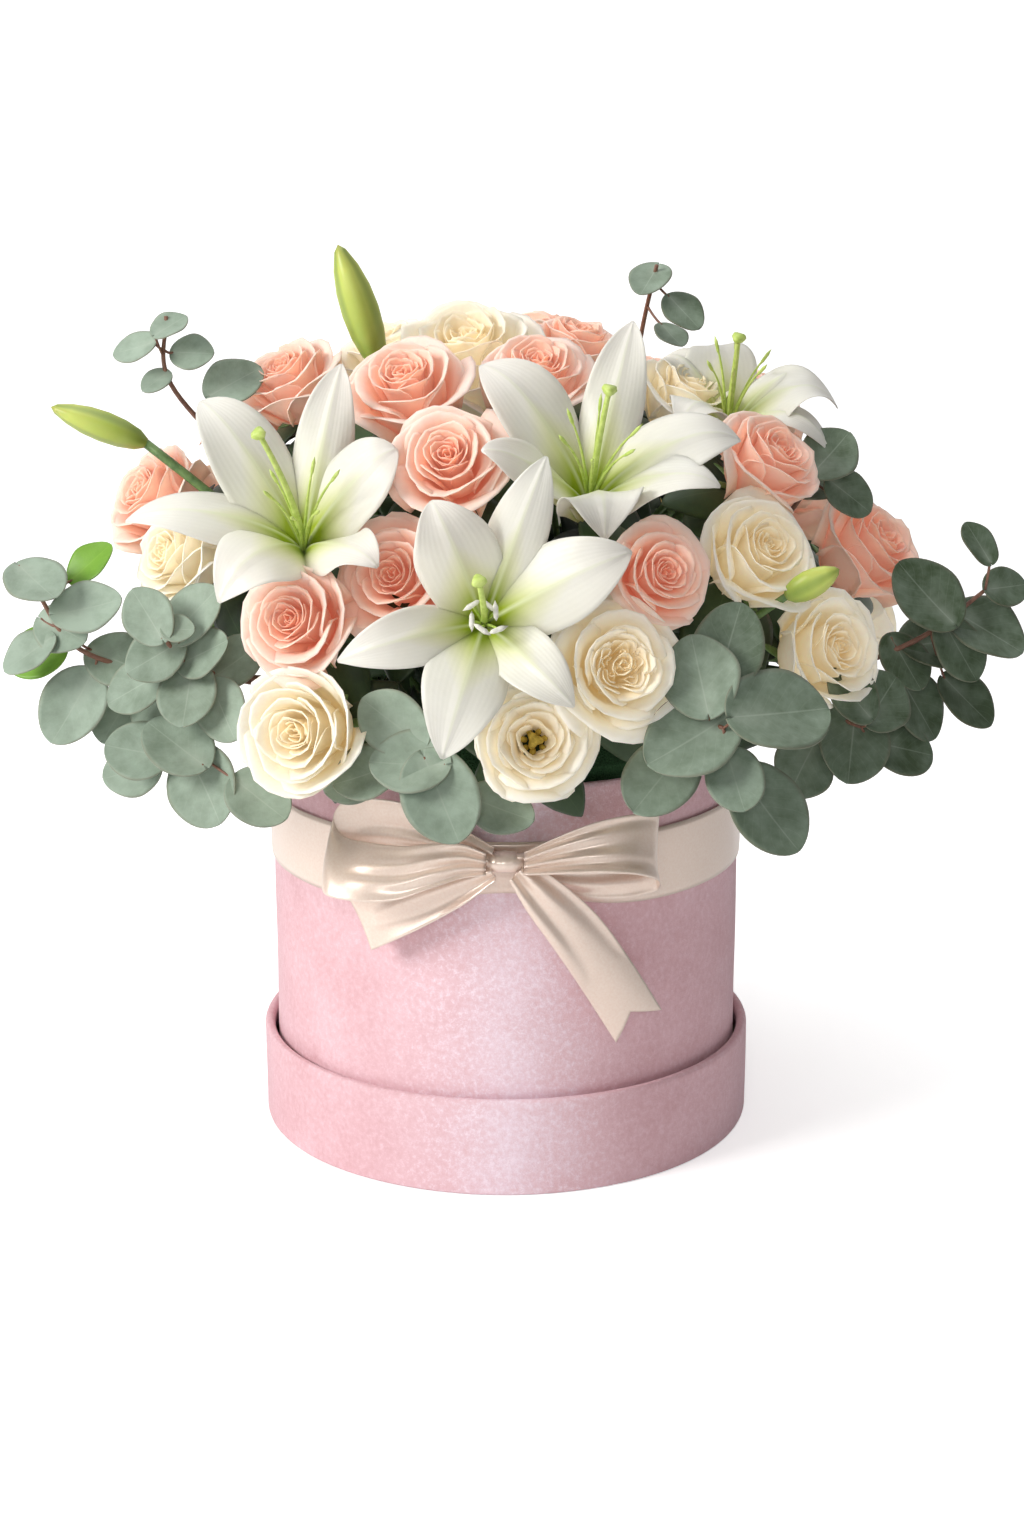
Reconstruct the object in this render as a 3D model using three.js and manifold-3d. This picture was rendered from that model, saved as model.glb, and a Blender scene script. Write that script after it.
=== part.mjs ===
// A round velvet hat box that stands in its own lid, tied with a satin ribbon and
// filled with a domed arrangement of lilies, roses, lisianthus and eucalyptus.
// Millimetres, +Z up. The origin is the centre of the tray's underside, and the bow faces -Y.
import * as THREE from "three";
import { mergeVertices } from "three/addons/utils/BufferGeometryUtils.js";
import Module from "manifold-3d";

const wasm = await Module();
wasm.setup();

// ---------------------------------------------------------------- driving dimensions
const GAP = 0.3; // clearance between touching pieces
const BOX_RADIUS = 110; // outside of the velvet on the box
const RIM_HEIGHT = 188; // top of the box above the ground
const TRAY_RADIUS = 116.4; // outside of the velvet on the tray
const TRAY_HEIGHT = 45.3; // top of the tray above the ground
const CARD = 2.2; // thickness of the rolled card walls
const VELVET = 1.1; // thickness of the velvet with its glue
const PAPER = 0.6; // thickness of the lining paper
const TURN_IN = 10; // how far the velvet is turned in over a rim
const LINER_RADIUS = 104;
const LINER_WALL = 0.9;
const LINER_TOP = 175;
const FOAM_TOP = 203;
const RIBBON_LOW = 130.5;
const RIBBON_WIDTH = 33;
const RIBBON_THICK = 0.8;

// The plants stand round a focal point in the foam, and their stems lean out from it.
const FOCUS_HEIGHT = 170;
const STEM_SPREAD = 90; // where a level stem would enter the foam, from its axis
const STEM_DEPTH = 38; // how far a stem is pushed into the foam
const STEM_RISE = 12; // least height above the foam of a stem's bend
const RISE_SLOPE = 0.25; // and how much higher it bends for each millimetre it reaches
const SPRIG_RISE = 8; // height above the foam at which a sprig turns down
const BRANCH_AT = 0.55; // where a side stem joins the main one, along it
const BRANCH_BEND = 0.3; // how far a side stem bends behind its bloom, of the bloom's size
const ROSE_STEM = 2.1; // radii of the stems
const LILY_STEM = 2.8;
const SPRIG_STEM = 1.4;
const PETIOLE = 0.9;
const LEAF_THICK = 1.8;

const ROUND = 36; // segments round the box
const HEAD_ROUND = 8; // segments round a rose
const LEAF_ROUND = 6;
const STEM_SIDES = 4;
const PETIOLE_SIDES = 3;
const STEM_STEPS = 4;
const BRANCH_STEPS = 3;
const UP = new THREE.Vector3(0, 0, 1);

// ---------------------------------------------------------------- solids
// A closed geometry as a manifold-3d solid, faces out.
function solidOf(geometry) {
  const bare = geometry.clone();
  bare.deleteAttribute("normal");
  bare.deleteAttribute("uv");
  const merged = mergeVertices(bare, 1e-4);
  const index = merged.index.array;
  const kept = [];
  for (let i = 0; i < index.length; i += 3) {
    const [a, b, c] = [index[i], index[i + 1], index[i + 2]];
    if (a !== b && b !== c && a !== c) kept.push([a, b, c]);
  }
  const vertProperties = Float32Array.from(merged.attributes.position.array);
  const make = (faces) => new wasm.Manifold(
    new wasm.Mesh({ numProp: 3, vertProperties, triVerts: Uint32Array.from(faces.flat()) }),
  );
  const solid = make(kept);
  return solid.volume() > 0 ? solid : make(kept.map(([a, b, c]) => [a, c, b]));
}

function geometryOf(solid) {
  const mesh = solid.getMesh();
  const geometry = new THREE.BufferGeometry();
  geometry.setAttribute("position", new THREE.BufferAttribute(mesh.vertProperties, 3));
  geometry.setIndex(new THREE.BufferAttribute(mesh.triVerts, 1));
  return geometry;
}

function union(solids) {
  return solids.reduce((all, next) => all.add(next));
}

// A profile of [radius, height] points turned about +Z.
function turned(profile, segments = ROUND) {
  const points = profile.map(([radius, height]) => new THREE.Vector2(radius, height));
  return new THREE.LatheGeometry(points, segments).rotateX(Math.PI / 2);
}

function disc(radius, low, high) {
  return turned([[0, low], [radius, low], [radius, high], [0, high]]);
}

function ring(inner, outer, low, high) {
  return turned([[inner, low], [outer, low], [outer, high], [inner, high], [inner, low]]);
}

// A skin of the given thickness outside a wall, rolled over its top and turned in.
function rolledSkin(wallInner, wallOuter, low, wallTop, thick) {
  const outerFace = wallOuter + GAP;
  const innerFace = wallInner - GAP;
  const under = wallTop + GAP;
  const end = wallTop - TURN_IN;
  return turned([
    [outerFace, low],
    [outerFace + thick, low],
    [outerFace + thick, under],
    [outerFace, under + thick],
    [innerFace, under + thick],
    [innerFace - thick, under],
    [innerFace - thick, end],
    [innerFace, end],
    [innerFace, under],
    [outerFace, under],
    [outerFace, low],
  ]);
}

// A round rod along a curve.
function rod(curve, radius, steps, sides = STEM_SIDES) {
  const section = new THREE.Shape();
  for (let i = 0; i < sides; i += 1) {
    const angle = (i / sides) * 2 * Math.PI;
    const point = [radius * Math.cos(angle), radius * Math.sin(angle)];
    if (i === 0) section.moveTo(...point);
    else section.lineTo(...point);
  }
  section.closePath();
  return solidOf(new THREE.ExtrudeGeometry(section, { steps, bevelEnabled: false, extrudePath: curve }));
}

// A unit vector from an azimuth (0 towards -Y, 90 towards +X) and an elevation, in degrees.
function direction(azimuth, elevation) {
  const a = THREE.MathUtils.degToRad(azimuth);
  const e = THREE.MathUtils.degToRad(elevation);
  return new THREE.Vector3(Math.sin(a) * Math.cos(e), -Math.cos(a) * Math.cos(e), Math.sin(e));
}

// Turns a geometry's +Z to face a direction, and moves it to a place.
function aimed(geometry, place, facing) {
  const turn = new THREE.Quaternion().setFromUnitVectors(UP, facing);
  return geometry.applyQuaternion(turn).translate(place.x, place.y, place.z);
}

// ---------------------------------------------------------------- box and tray
const trayFloor = VELVET + GAP; // underside of the tray's card
const boxFloor = trayFloor + CARD + GAP; // underside of the box
const trayWall = { outer: TRAY_RADIUS - VELVET - GAP, top: TRAY_HEIGHT - VELVET - GAP };
const boxWall = { outer: BOX_RADIUS - VELVET - GAP, top: RIM_HEIGHT - VELVET - GAP };
trayWall.inner = trayWall.outer - CARD;
boxWall.inner = boxWall.outer - CARD;

function trayPieces() {
  return {
    tray_velvet_disc: disc(trayWall.outer, 0, VELVET),
    tray_card_disc: disc(trayWall.inner - GAP, trayFloor, trayFloor + CARD),
    tray_card_rim: ring(trayWall.inner, trayWall.outer, trayFloor, trayWall.top),
    tray_velvet_band: rolledSkin(trayWall.inner, trayWall.outer, GAP, trayWall.top, VELVET),
  };
}

function boxPieces() {
  const liningOuter = boxWall.inner - GAP;
  return {
    box_base_card: disc(liningOuter - PAPER - GAP, boxFloor, boxFloor + CARD),
    box_card_wall: ring(boxWall.inner, boxWall.outer, boxFloor, boxWall.top),
    box_velvet_cover: rolledSkin(boxWall.inner, boxWall.outer, boxFloor, boxWall.top, VELVET),
    box_lining: ring(liningOuter - PAPER, liningOuter, boxFloor, boxWall.top - TURN_IN - GAP),
  };
}

// ---------------------------------------------------------------- ribbon and bow
const ribbonFace = BOX_RADIUS + GAP + RIBBON_THICK; // outside of the band
const KNOT_HEIGHT = 157;
const KNOT_WIDTH = 18;
const KNOT_DEPTH = 13; // how far the knot stands off the band
const KNOT_TALL = 11;
const LOOP_THICK = 17;
const TAIL_THICK = 5;
const BOW_WRAP = 18; // degrees that each side of the bow turns back round the box
const BOW_GAP = 1; // least distance from the bow to the band

// An outline of [across, up] points from the knot, made a slab that lies against the band half way along.
function bowSlab(outline, thick, wrap) {
  const shape = new THREE.Shape(outline.map(([across, up]) => new THREE.Vector2(across, up)));
  const slab = new THREE.ExtrudeGeometry(shape, { depth: thick, bevelEnabled: false });
  const turn = THREE.MathUtils.degToRad(wrap);
  const standOff = (ribbonFace + BOW_GAP) / Math.cos(turn);
  return slab.rotateX(Math.PI / 2).rotateZ(turn).translate(0, -standOff, KNOT_HEIGHT);
}

function bowPieces() {
  const knot = new THREE.SphereGeometry(1, 10, 8).scale(KNOT_WIDTH / 2, KNOT_DEPTH / 2, KNOT_TALL / 2);
  knot.translate(0, -ribbonFace - GAP - KNOT_DEPTH / 2, KNOT_HEIGHT);
  const loopLeft = [[-12, 3], [-12, -4], [-38, -14], [-72, -9], [-80, 6], [-76, 22], [-62, 27], [-34, 17]];
  const loopRight = [[11, -4], [11, 3], [38, 17], [66, 20], [75, 12], [72, -8], [62, -19], [36, -13]];
  const tailLeft = [[-9, -8], [-26, -22], [-62, -41], [-77, -14], [-40, -15.5]];
  const tailRight = [[4, -7.5], [14, -8], [40, -28], [62, -55], [71, -67], [58, -70], [53, -84], [34, -58], [16, -28]];
  return {
    bow_knot: knot,
    bow_loop_left: bowSlab(loopLeft, LOOP_THICK, -BOW_WRAP),
    bow_loop_right: bowSlab(loopRight, LOOP_THICK, BOW_WRAP),
    bow_tail_left: bowSlab(tailLeft, TAIL_THICK, -BOW_WRAP),
    bow_tail_right: bowSlab(tailRight, TAIL_THICK, BOW_WRAP),
  };
}

// ---------------------------------------------------------------- liner and foam
function linerPot() {
  const low = boxFloor + CARD + GAP;
  const inner = LINER_RADIUS - LINER_WALL;
  return turned([
    [0, low],
    [LINER_RADIUS, low],
    [LINER_RADIUS, LINER_TOP],
    [inner, LINER_TOP],
    [inner, low + LINER_WALL],
    [0, low + LINER_WALL],
  ]);
}

function foamBlock() {
  const low = boxFloor + CARD + LINER_WALL + 2 * GAP;
  const radius = LINER_RADIUS - LINER_WALL - 2 * GAP;
  const chamfer = 10;
  return turned([[0, low], [radius, low], [radius, FOAM_TOP - chamfer], [radius - chamfer, FOAM_TOP], [0, FOAM_TOP]]);
}

// ---------------------------------------------------------------- blooms
// Each bloom is made facing +Z with its middle at the origin; grow makes it that much bigger all round.
const BLOOMS = {
  // A full rose: a deep cup with an incurved top.
  rose: {
    back: 0.4,
    stem: ROSE_STEM,
    solid: (size, grow) => headSolid(size, grow, [
      [0, -0.44], [0.2, -0.41], [0.4, -0.22], [0.5, 0.06], [0.45, 0.28], [0.28, 0.38], [0, 0.34],
    ]),
  },
  // A lisianthus: shallower and more open.
  lisianthus: {
    back: 0.34,
    stem: ROSE_STEM,
    solid: (size, grow) => headSolid(size, grow, [
      [0, -0.38], [0.14, -0.35], [0.38, -0.14], [0.5, 0.12], [0.44, 0.26], [0.2, 0.2], [0, 0.08],
    ]),
  },
  // A closed bud, whose size is its length.
  bud: {
    back: 0.46,
    stem: ROSE_STEM,
    solid: (size, grow) => headSolid(size, grow, [
      [0, -0.5], [0.07, -0.47], [0.13, -0.2], [0.135, 0.05], [0.09, 0.33], [0, 0.5],
    ]),
  },
  lily: { back: 0.27, stem: LILY_STEM, solid: lilySolid },
};

function headSolid(size, grow, profile) {
  const scale = size + 2 * grow;
  return turned(profile.map(([radius, height]) => [radius * scale, height * scale]), HEAD_ROUND);
}

const TEPALS = 6;
const TEPAL_WIDTH = 0.24; // of the lily's diameter
const TEPAL_FLARE = 1.1; // most that a tepal can be wide, of its distance from the axis
const TEPAL_THICK = 3.2;
const FUNNEL = { top: 0.1, foot: 0.03, height: 0.18, place: -0.2 }; // of the lily's diameter
const STYLE_LENGTH = 0.5;
const STYLE_RADIUS = 1.6;

// A lily: six tepals that leave a funnel and curl outwards, round a long style.
function lilySolid(size, grow) {
  const midline = new THREE.CubicBezierCurve(
    new THREE.Vector2(0.02 * size, -0.28 * size),
    new THREE.Vector2(0.09 * size, -0.06 * size),
    new THREE.Vector2(0.26 * size, 0.13 * size),
    new THREE.Vector2(0.5 * size, 0.06 * size),
  );
  const thick = TEPAL_THICK + 2 * grow;
  const pieces = [];
  for (let i = 0; i < TEPALS; i += 1) {
    const tepal = new THREE.SphereGeometry(1, 4, 7);
    const at = tepal.attributes.position;
    for (let v = 0; v < at.count; v += 1) {
      const along = (at.getY(v) + 1) / 2;
      const middle = midline.getPoint(along);
      const tangent = midline.getTangent(along);
      const lift = (at.getZ(v) * thick) / 2;
      const halfWidth = Math.min(TEPAL_WIDTH * size, TEPAL_FLARE * middle.x) / 2 + grow;
      at.setXYZ(v, middle.x - tangent.y * lift, at.getX(v) * halfWidth, middle.y + tangent.x * lift);
    }
    pieces.push(solidOf(tepal.rotateZ((i / TEPALS) * 2 * Math.PI)));
  }
  const funnel = new THREE.CylinderGeometry(FUNNEL.top * size, FUNNEL.foot * size, FUNNEL.height * size, HEAD_ROUND);
  funnel.rotateX(Math.PI / 2).translate(0, 0, FUNNEL.place * size);
  const radius = STYLE_RADIUS + grow;
  const style = new THREE.CylinderGeometry(radius, radius, STYLE_LENGTH * size, STEM_SIDES);
  style.rotateX(Math.PI / 2).translate(0, 0, 0.05 * size);
  pieces.push(solidOf(funnel), solidOf(style));
  return geometryOf(union(pieces));
}

// ---------------------------------------------------------------- stems and plants
// Where a stem that reaches a place at [x, y, z] is pushed into the foam.
function footOf(place) {
  const lean = Math.atan2(Math.hypot(place.x, place.y), place.z - FOCUS_HEIGHT) / (Math.PI / 2);
  const from = STEM_SPREAD * Math.min(1, lean);
  const angle = Math.atan2(place.y, place.x);
  return new THREE.Vector3(from * Math.cos(angle), from * Math.sin(angle), FOAM_TOP - STEM_DEPTH);
}

// A stem from the back of a bloom, upright where it enters the foam.
function stemCurve(start) {
  const foot = footOf(start);
  const rise = STEM_RISE + RISE_SLOPE * start.distanceTo(new THREE.Vector3(foot.x, foot.y, FOAM_TOP));
  const bend = new THREE.Vector3(foot.x, foot.y, FOAM_TOP + rise);
  return new THREE.QuadraticBezierCurve3(start, bend, foot);
}

// One cut stem: its first bloom is at the stem's end, and the others branch off it.
// A bloom is [kind, x, y, z, facing azimuth, facing elevation, size].
function bloomingStem(blooms, grow) {
  const pieces = [];
  let main = null;
  blooms.forEach(([kind, x, y, z, azimuth, elevation, size]) => {
    const bloom = BLOOMS[kind];
    const place = new THREE.Vector3(x, y, z);
    const facing = direction(azimuth, elevation);
    pieces.push(solidOf(aimed(bloom.solid(size, grow), place, facing)));
    const start = place.clone().addScaledVector(facing, -bloom.back * size);
    if (main === null) {
      main = stemCurve(start);
      pieces.push(rod(main, bloom.stem + grow, STEM_STEPS));
      return;
    }
    const joint = main.getPoint(BRANCH_AT);
    const bend = joint.clone().lerp(start, 0.5).addScaledVector(facing, -BRANCH_BEND * size);
    pieces.push(rod(new THREE.QuadraticBezierCurve3(start, bend, joint), ROSE_STEM + grow, BRANCH_STEPS));
  });
  return union(pieces);
}

// A leaf faces up, out of the dome, and to the front or the back of the box, whichever it is on.
function leafFacing(place) {
  const out = new THREE.Vector3(place.x, place.y, place.z - FOCUS_HEIGHT).normalize();
  return out.multiplyScalar(0.5).add(direction(place.y < 0 ? 0 : 180, 40)).normalize();
}

// A eucalyptus sprig: a stem through its points to the foam, and a round leaf at each [x, y, z, size].
function leafySprig({ path, leaves }, grow) {
  const points = path.map((point) => new THREE.Vector3(...point));
  const foot = footOf(points[0]);
  points.push(new THREE.Vector3(foot.x, foot.y, FOAM_TOP + SPRIG_RISE), foot);
  const curve = new THREE.CatmullRomCurve3(points);
  const pieces = [rod(curve, SPRIG_STEM + grow, 2 * (points.length - 1))];
  const along = curve.getPoints(40).filter((point) => point.z > FOAM_TOP);
  leaves.forEach(([x, y, z, size]) => {
    const place = new THREE.Vector3(x, y, z);
    const blade = new THREE.CylinderGeometry(size / 2 + grow, size / 2 + grow, LEAF_THICK + 2 * grow, LEAF_ROUND);
    pieces.push(solidOf(aimed(blade.rotateX(Math.PI / 2), place, leafFacing(place))));
    const nearest = along.reduce((a, b) => (b.distanceTo(place) < a.distanceTo(place) ? b : a));
    pieces.push(rod(new THREE.LineCurve3(place, nearest), PETIOLE + grow, 1, PETIOLE_SIDES));
  });
  return union(pieces);
}

// ---------------------------------------------------------------- the arrangement
const PEACH_ROSES = {
  peach_rose_1: [["rose", -22, -118, 329, -10, 35, 48]],
  peach_rose_2: [["rose", -85, -134, 266, -25, 20, 48]],
  peach_rose_3: [["rose", -44, -124, 282, -15, 25, 50]],
  peach_rose_4: [["rose", -41, -78, 354, -20, 55, 52]],
  peach_rose_5: [["rose", 63, -134, 286, 25, 20, 42]],
  peach_rose_6: [["rose", 113, -68, 322, 50, 45, 48]],
  peach_rose_7: [["rose", 163, -28, 276, 55, 40, 55]],
  peach_rose_8: [["rose", -158, -12, 296, -60, 35, 52]],
  peach_rose_9: [["rose", -96, -18, 350, -50, 55, 46]],
  peach_rose_10: [["rose", 14, -55, 357, 10, 60, 46]],
  peach_rose_11: [["rose", 32, 10, 362, 60, 75, 44]],
  peach_spray_back_right: [
    ["rose", 72, 91, 332, 140, 50, 46],
    ["rose", 118, 38, 332, 110, 45, 46],
    ["rose", 138, 80, 284, 122, 30, 48],
    ["rose", 18, 68, 358, 165, 65, 44],
  ],
  peach_spray_back_left: [
    ["rose", -92, 120, 284, 215, 30, 50],
    ["rose", -76, 146, 232, 205, 15, 46],
    ["rose", -122, 30, 330, 255, 45, 46],
  ],
  peach_spray_left: [
    ["rose", -150, 48, 278, 250, 30, 48],
    ["rose", -166, 58, 228, 250, 10, 46],
  ],
};

const CREAM_FLOWERS = {
  cream_rose_1: [["rose", -82, -144, 222, -25, 10, 54]],
  cream_lisianthus: [["lisianthus", 12, -160, 222, 5, 20, 50]],
  cream_rose_2: [["rose", 45, -150, 250, 15, 20, 55]],
  cream_rose_3: [["rose", 106, -104, 288, 35, 35, 53]],
  cream_rose_4: [
    ["rose", 136, -100, 246, 40, 20, 51],
    ["bud", 128, -122, 280, 75, 30, 26],
  ],
  cream_rose_5: [["rose", -142, -66, 280, -50, 25, 46]],
  cream_rose_6: [["rose", -8, -18, 364, -10, 70, 66]],
  cream_rose_7: [["rose", -52, 2, 359, -60, 68, 48]],
  cream_rose_8: [["rose", 80, -16, 343, 55, 60, 46]],
  cream_spray_back_right: [
    ["rose", 92, 122, 282, 145, 30, 50],
    ["rose", 170, 48, 232, 105, 15, 46],
    ["rose", 74, 150, 230, 155, 15, 48],
  ],
  cream_spray_back_left: [
    ["rose", -138, 92, 262, 235, 25, 46],
    ["rose", -74, 84, 330, 220, 50, 48],
  ],
  cream_spray_back_top: [
    ["rose", 2, 112, 332, 180, 50, 48],
    ["rose", -34, 48, 358, 215, 70, 46],
  ],
};

const LILIES = {
  lily_1: [
    ["lily", -84, -120, 302, 2, 44, 124],
    ["bud", -64, -38, 386, -90, 72, 56],
    ["bud", -180, -32, 333, -85, 22, 46],
  ],
  lily_2: [["lily", -8, -156, 272, 2, 20, 124]],
  lily_3: [["lily", 36, -120, 322, 5, 52, 128]],
  lily_4: [["lily", 104, -22, 336, 25, 66, 120]],
  lily_back: [
    ["lily", 0, 150, 276, 180, 30, 120],
    ["bud", 44, 146, 290, 165, 30, 50],
  ],
};

// Low collar sprigs at the back are alike.
function collarSprig(azimuth) {
  const out = (turn, from, z) => {
    const d = direction(azimuth + turn, 0);
    return [from * d.x, from * d.y, z];
  };
  const places = [
    [-13, 168, 222], [0, 174, 238], [13, 168, 220], [-9, 176, 196], [8, 178, 194], [0, 182, 214], [-18, 164, 250],
  ];
  return {
    path: [out(0, 174, 224), out(0, 140, 224), out(0, 108, 220)],
    leaves: places.map(([turn, from, z], i) => [...out(turn, from, z), 36 - 2 * (i % 4)]),
  };
}

const SPRIGS = {
  eucalyptus_left_far: {
    path: [[-205, -80, 272], [-186, -84, 244], [-150, -74, 230], [-108, -50, 222]],
    leaves: [
      [-202, -85, 273, 28], [-180, -88, 262, 28], [-206, -88, 242, 24], [-188, -88, 218, 33],
      [-168, -82, 237, 28], [-192, -84, 252, 24], [-170, -78, 212, 26],
    ],
  },
  eucalyptus_left_upper: {
    path: [[-148, -106, 258], [-134, -102, 240], [-100, -74, 224]],
    leaves: [
      [-151, -108, 263, 25], [-149, -107, 245, 25], [-128, -108, 247, 25],
      [-135, -112, 229, 27], [-120, -114, 223, 28], [-158, -100, 230, 28],
      [-138, -112, 258, 13], [-135, -86, 266, 28], [-116, -95, 240, 27],
    ],
  },
  eucalyptus_left_lower: {
    path: [[-138, -116, 204], [-122, -100, 214], [-96, -72, 216]],
    leaves: [
      [-158, -106, 203, 27], [-140, -114, 208, 31], [-128, -118, 190, 34], [-104, -128, 188, 27],
      [-162, -98, 192, 25], [-152, -88, 219, 26],
    ],
  },
  eucalyptus_front_left: {
    path: [[-30, -162, 208], [-32, -140, 216], [-30, -108, 216]],
    leaves: [
      [-26, -168, 200, 37], [-39, -160, 212, 30], [-46, -150, 227, 30],
      [-2, -160, 193, 27], [-57, -150, 205, 27], [-64, -134, 199, 24],
    ],
  },
  eucalyptus_front_right: {
    path: [[89, -162, 228], [76, -132, 226], [62, -96, 218]],
    leaves: [
      [76, -162, 223, 39], [112, -158, 233, 42], [80, -152, 247, 33], [108, -160, 192, 38],
      [94, -168, 207, 26], [64, -154, 204, 36], [92, -144, 258, 34],
    ],
  },
  eucalyptus_right: {
    path: [[212, -58, 264], [186, -66, 246], [150, -66, 230], [110, -54, 220]],
    leaves: [
      [185, -64, 263, 34], [213, -60, 246, 34], [208, -58, 285, 20], [182, -68, 214, 32],
      [205, -64, 215, 26], [200, -68, 240, 20], [222, -52, 264, 22],
    ],
  },
  eucalyptus_right_lower: {
    path: [[154, -98, 212], [128, -84, 218], [104, -68, 216]],
    leaves: [[150, -99, 205, 34], [128, -106, 196, 28], [163, -92, 222, 28], [148, -104, 228, 26], [174, -82, 198, 28]],
  },
  eucalyptus_right_upper: {
    path: [[143, -42, 322], [128, -42, 298], [98, -34, 256]],
    leaves: [[143, -45, 322, 27], [152, -46, 304, 22], [132, -40, 308, 24]],
  },
  eucalyptus_top_left: {
    path: [[-148, -40, 382], [-148, -38, 354], [-122, -30, 318], [-84, -22, 262]],
    leaves: [[-146, -43, 378, 16], [-162, -40, 368, 19], [-137, -40, 366, 18], [-153, -43, 354, 14], [-120, -30, 352, 26]],
  },
  eucalyptus_top_right: {
    path: [[67, -18, 402], [62, 8, 370], [56, 32, 320], [36, 26, 262]],
    leaves: [[64, -20, 396, 20], [79, -22, 382, 20], [74, -16, 371, 16]],
  },
  eucalyptus_back_right: collarSprig(132),
  eucalyptus_back: collarSprig(180),
  eucalyptus_back_left: collarSprig(228),
};

// ---------------------------------------------------------------- assembly
const COLOURS = {
  velvet: { color: "#e8b9c6", roughness: 0.95, metalness: 0 },
  card: { color: "#c9b79c", roughness: 0.9, metalness: 0 },
  lining: { color: "#f4efe8", roughness: 0.8, metalness: 0 },
  satin: { color: "#f1dccb", roughness: 0.35, metalness: 0 },
  liner: { color: "#3b3f3a", roughness: 0.5, metalness: 0 },
  foam: { color: "#3c6b45", roughness: 1, metalness: 0 },
  peach_petal: { color: "#f0b6a0", roughness: 0.6, metalness: 0 },
  cream_petal: { color: "#f1e9d2", roughness: 0.6, metalness: 0 },
  lily_petal: { color: "#f6f5ee", roughness: 0.5, metalness: 0 },
  eucalyptus_leaf: { color: "#8aa394", roughness: 0.7, metalness: 0 },
};
const MATERIALS = Object.fromEntries(
  Object.entries(COLOURS).map(([name, look]) => [name, new THREE.MeshStandardMaterial(look)]),
);

const flowerBox = new THREE.Group();
flowerBox.name = "flower_box";

function addPiece(name, geometry, material) {
  const mesh = new THREE.Mesh(geometry, MATERIALS[material]);
  mesh.name = name;
  flowerBox.add(mesh);
}

function addAll(pieces, materialOf) {
  Object.entries(pieces).forEach(([name, geometry]) => addPiece(name, geometry, materialOf(name)));
}

addAll(trayPieces(), (name) => (name.includes("velvet") ? "velvet" : "card"));
addAll(boxPieces(), (name) => (name.includes("velvet") ? "velvet" : name.includes("card") ? "card" : "lining"));
addPiece("ribbon_band", ring(BOX_RADIUS + GAP, ribbonFace, RIBBON_LOW, RIBBON_LOW + RIBBON_WIDTH), "satin");
addAll(bowPieces(), () => "satin");
addPiece("liner", linerPot(), "liner");

// Each plant gives way to those placed before it, and the foam gives way to all of them.
const placed = [];
let foam = solidOf(foamBlock());

function boxesMeet(a, b) {
  return [0, 1, 2].every((k) => a.min[k] < b.max[k] && b.min[k] < a.max[k]);
}

function addPlant(name, makeSolid, material) {
  let solid = makeSolid(0);
  const grown = makeSolid(GAP);
  placed.forEach((other) => {
    if (boxesMeet(other.boundingBox(), solid.boundingBox())) solid = solid.subtract(other);
  });
  const bodies = solid.decompose().sort((a, b) => b.volume() - a.volume());
  placed.push(grown);
  foam = foam.subtract(grown);
  addPiece(name, geometryOf(bodies[0]), material);
}

function addPlants(plants, make, material) {
  Object.entries(plants).forEach(([name, plant]) => addPlant(name, (grow) => make(plant, grow), material));
}

addPlants(LILIES, bloomingStem, "lily_petal");
addPlants(PEACH_ROSES, bloomingStem, "peach_petal");
addPlants(CREAM_FLOWERS, bloomingStem, "cream_petal");
addPlants(SPRIGS, leafySprig, "eucalyptus_leaf");
addPiece("floral_foam", geometryOf(foam), "foam");

export default flowerBox;
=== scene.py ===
"""A round velvet hat box standing in its own lid, tied with a satin bow and filled with a dome of flowers.

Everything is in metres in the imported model's frame: +Z up, the bow facing -Y.
"""

import math
import zlib

import bpy
import numpy as np
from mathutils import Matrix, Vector


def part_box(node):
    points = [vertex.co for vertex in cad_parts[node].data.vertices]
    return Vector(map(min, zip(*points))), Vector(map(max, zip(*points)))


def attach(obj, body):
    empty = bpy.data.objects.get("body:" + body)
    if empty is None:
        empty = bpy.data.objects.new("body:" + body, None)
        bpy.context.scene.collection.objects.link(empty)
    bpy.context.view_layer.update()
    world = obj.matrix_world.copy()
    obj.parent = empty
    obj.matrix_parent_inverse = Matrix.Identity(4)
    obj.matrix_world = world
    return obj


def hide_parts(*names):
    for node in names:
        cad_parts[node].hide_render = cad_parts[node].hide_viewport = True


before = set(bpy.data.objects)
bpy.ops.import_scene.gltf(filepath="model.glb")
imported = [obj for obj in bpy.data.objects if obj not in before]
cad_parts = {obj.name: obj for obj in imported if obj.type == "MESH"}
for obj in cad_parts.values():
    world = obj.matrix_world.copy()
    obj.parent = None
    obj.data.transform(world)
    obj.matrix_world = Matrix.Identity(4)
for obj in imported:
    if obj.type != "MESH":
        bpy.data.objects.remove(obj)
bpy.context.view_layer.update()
MM = 0.001
WHOLE_TURN = 6.28  # radians, near enough for a phase picked at random
PLAIN = (0.5, 0.5, 0.5)  # the shade of a surface whose material reads none


# ---------- small maths
def vec(*values):
    return np.array(values, float)


def unit(v):
    v = np.asarray(v, float)
    return v / np.maximum(np.linalg.norm(v, axis=-1, keepdims=True), 1e-12)


def direction(azimuth, elevation):
    """Azimuth 0 is towards -Y and 90 towards +X, in degrees."""
    a, e = math.radians(azimuth), math.radians(elevation)
    return vec(math.sin(a) * math.cos(e), -math.cos(a) * math.cos(e), math.sin(e))


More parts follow.
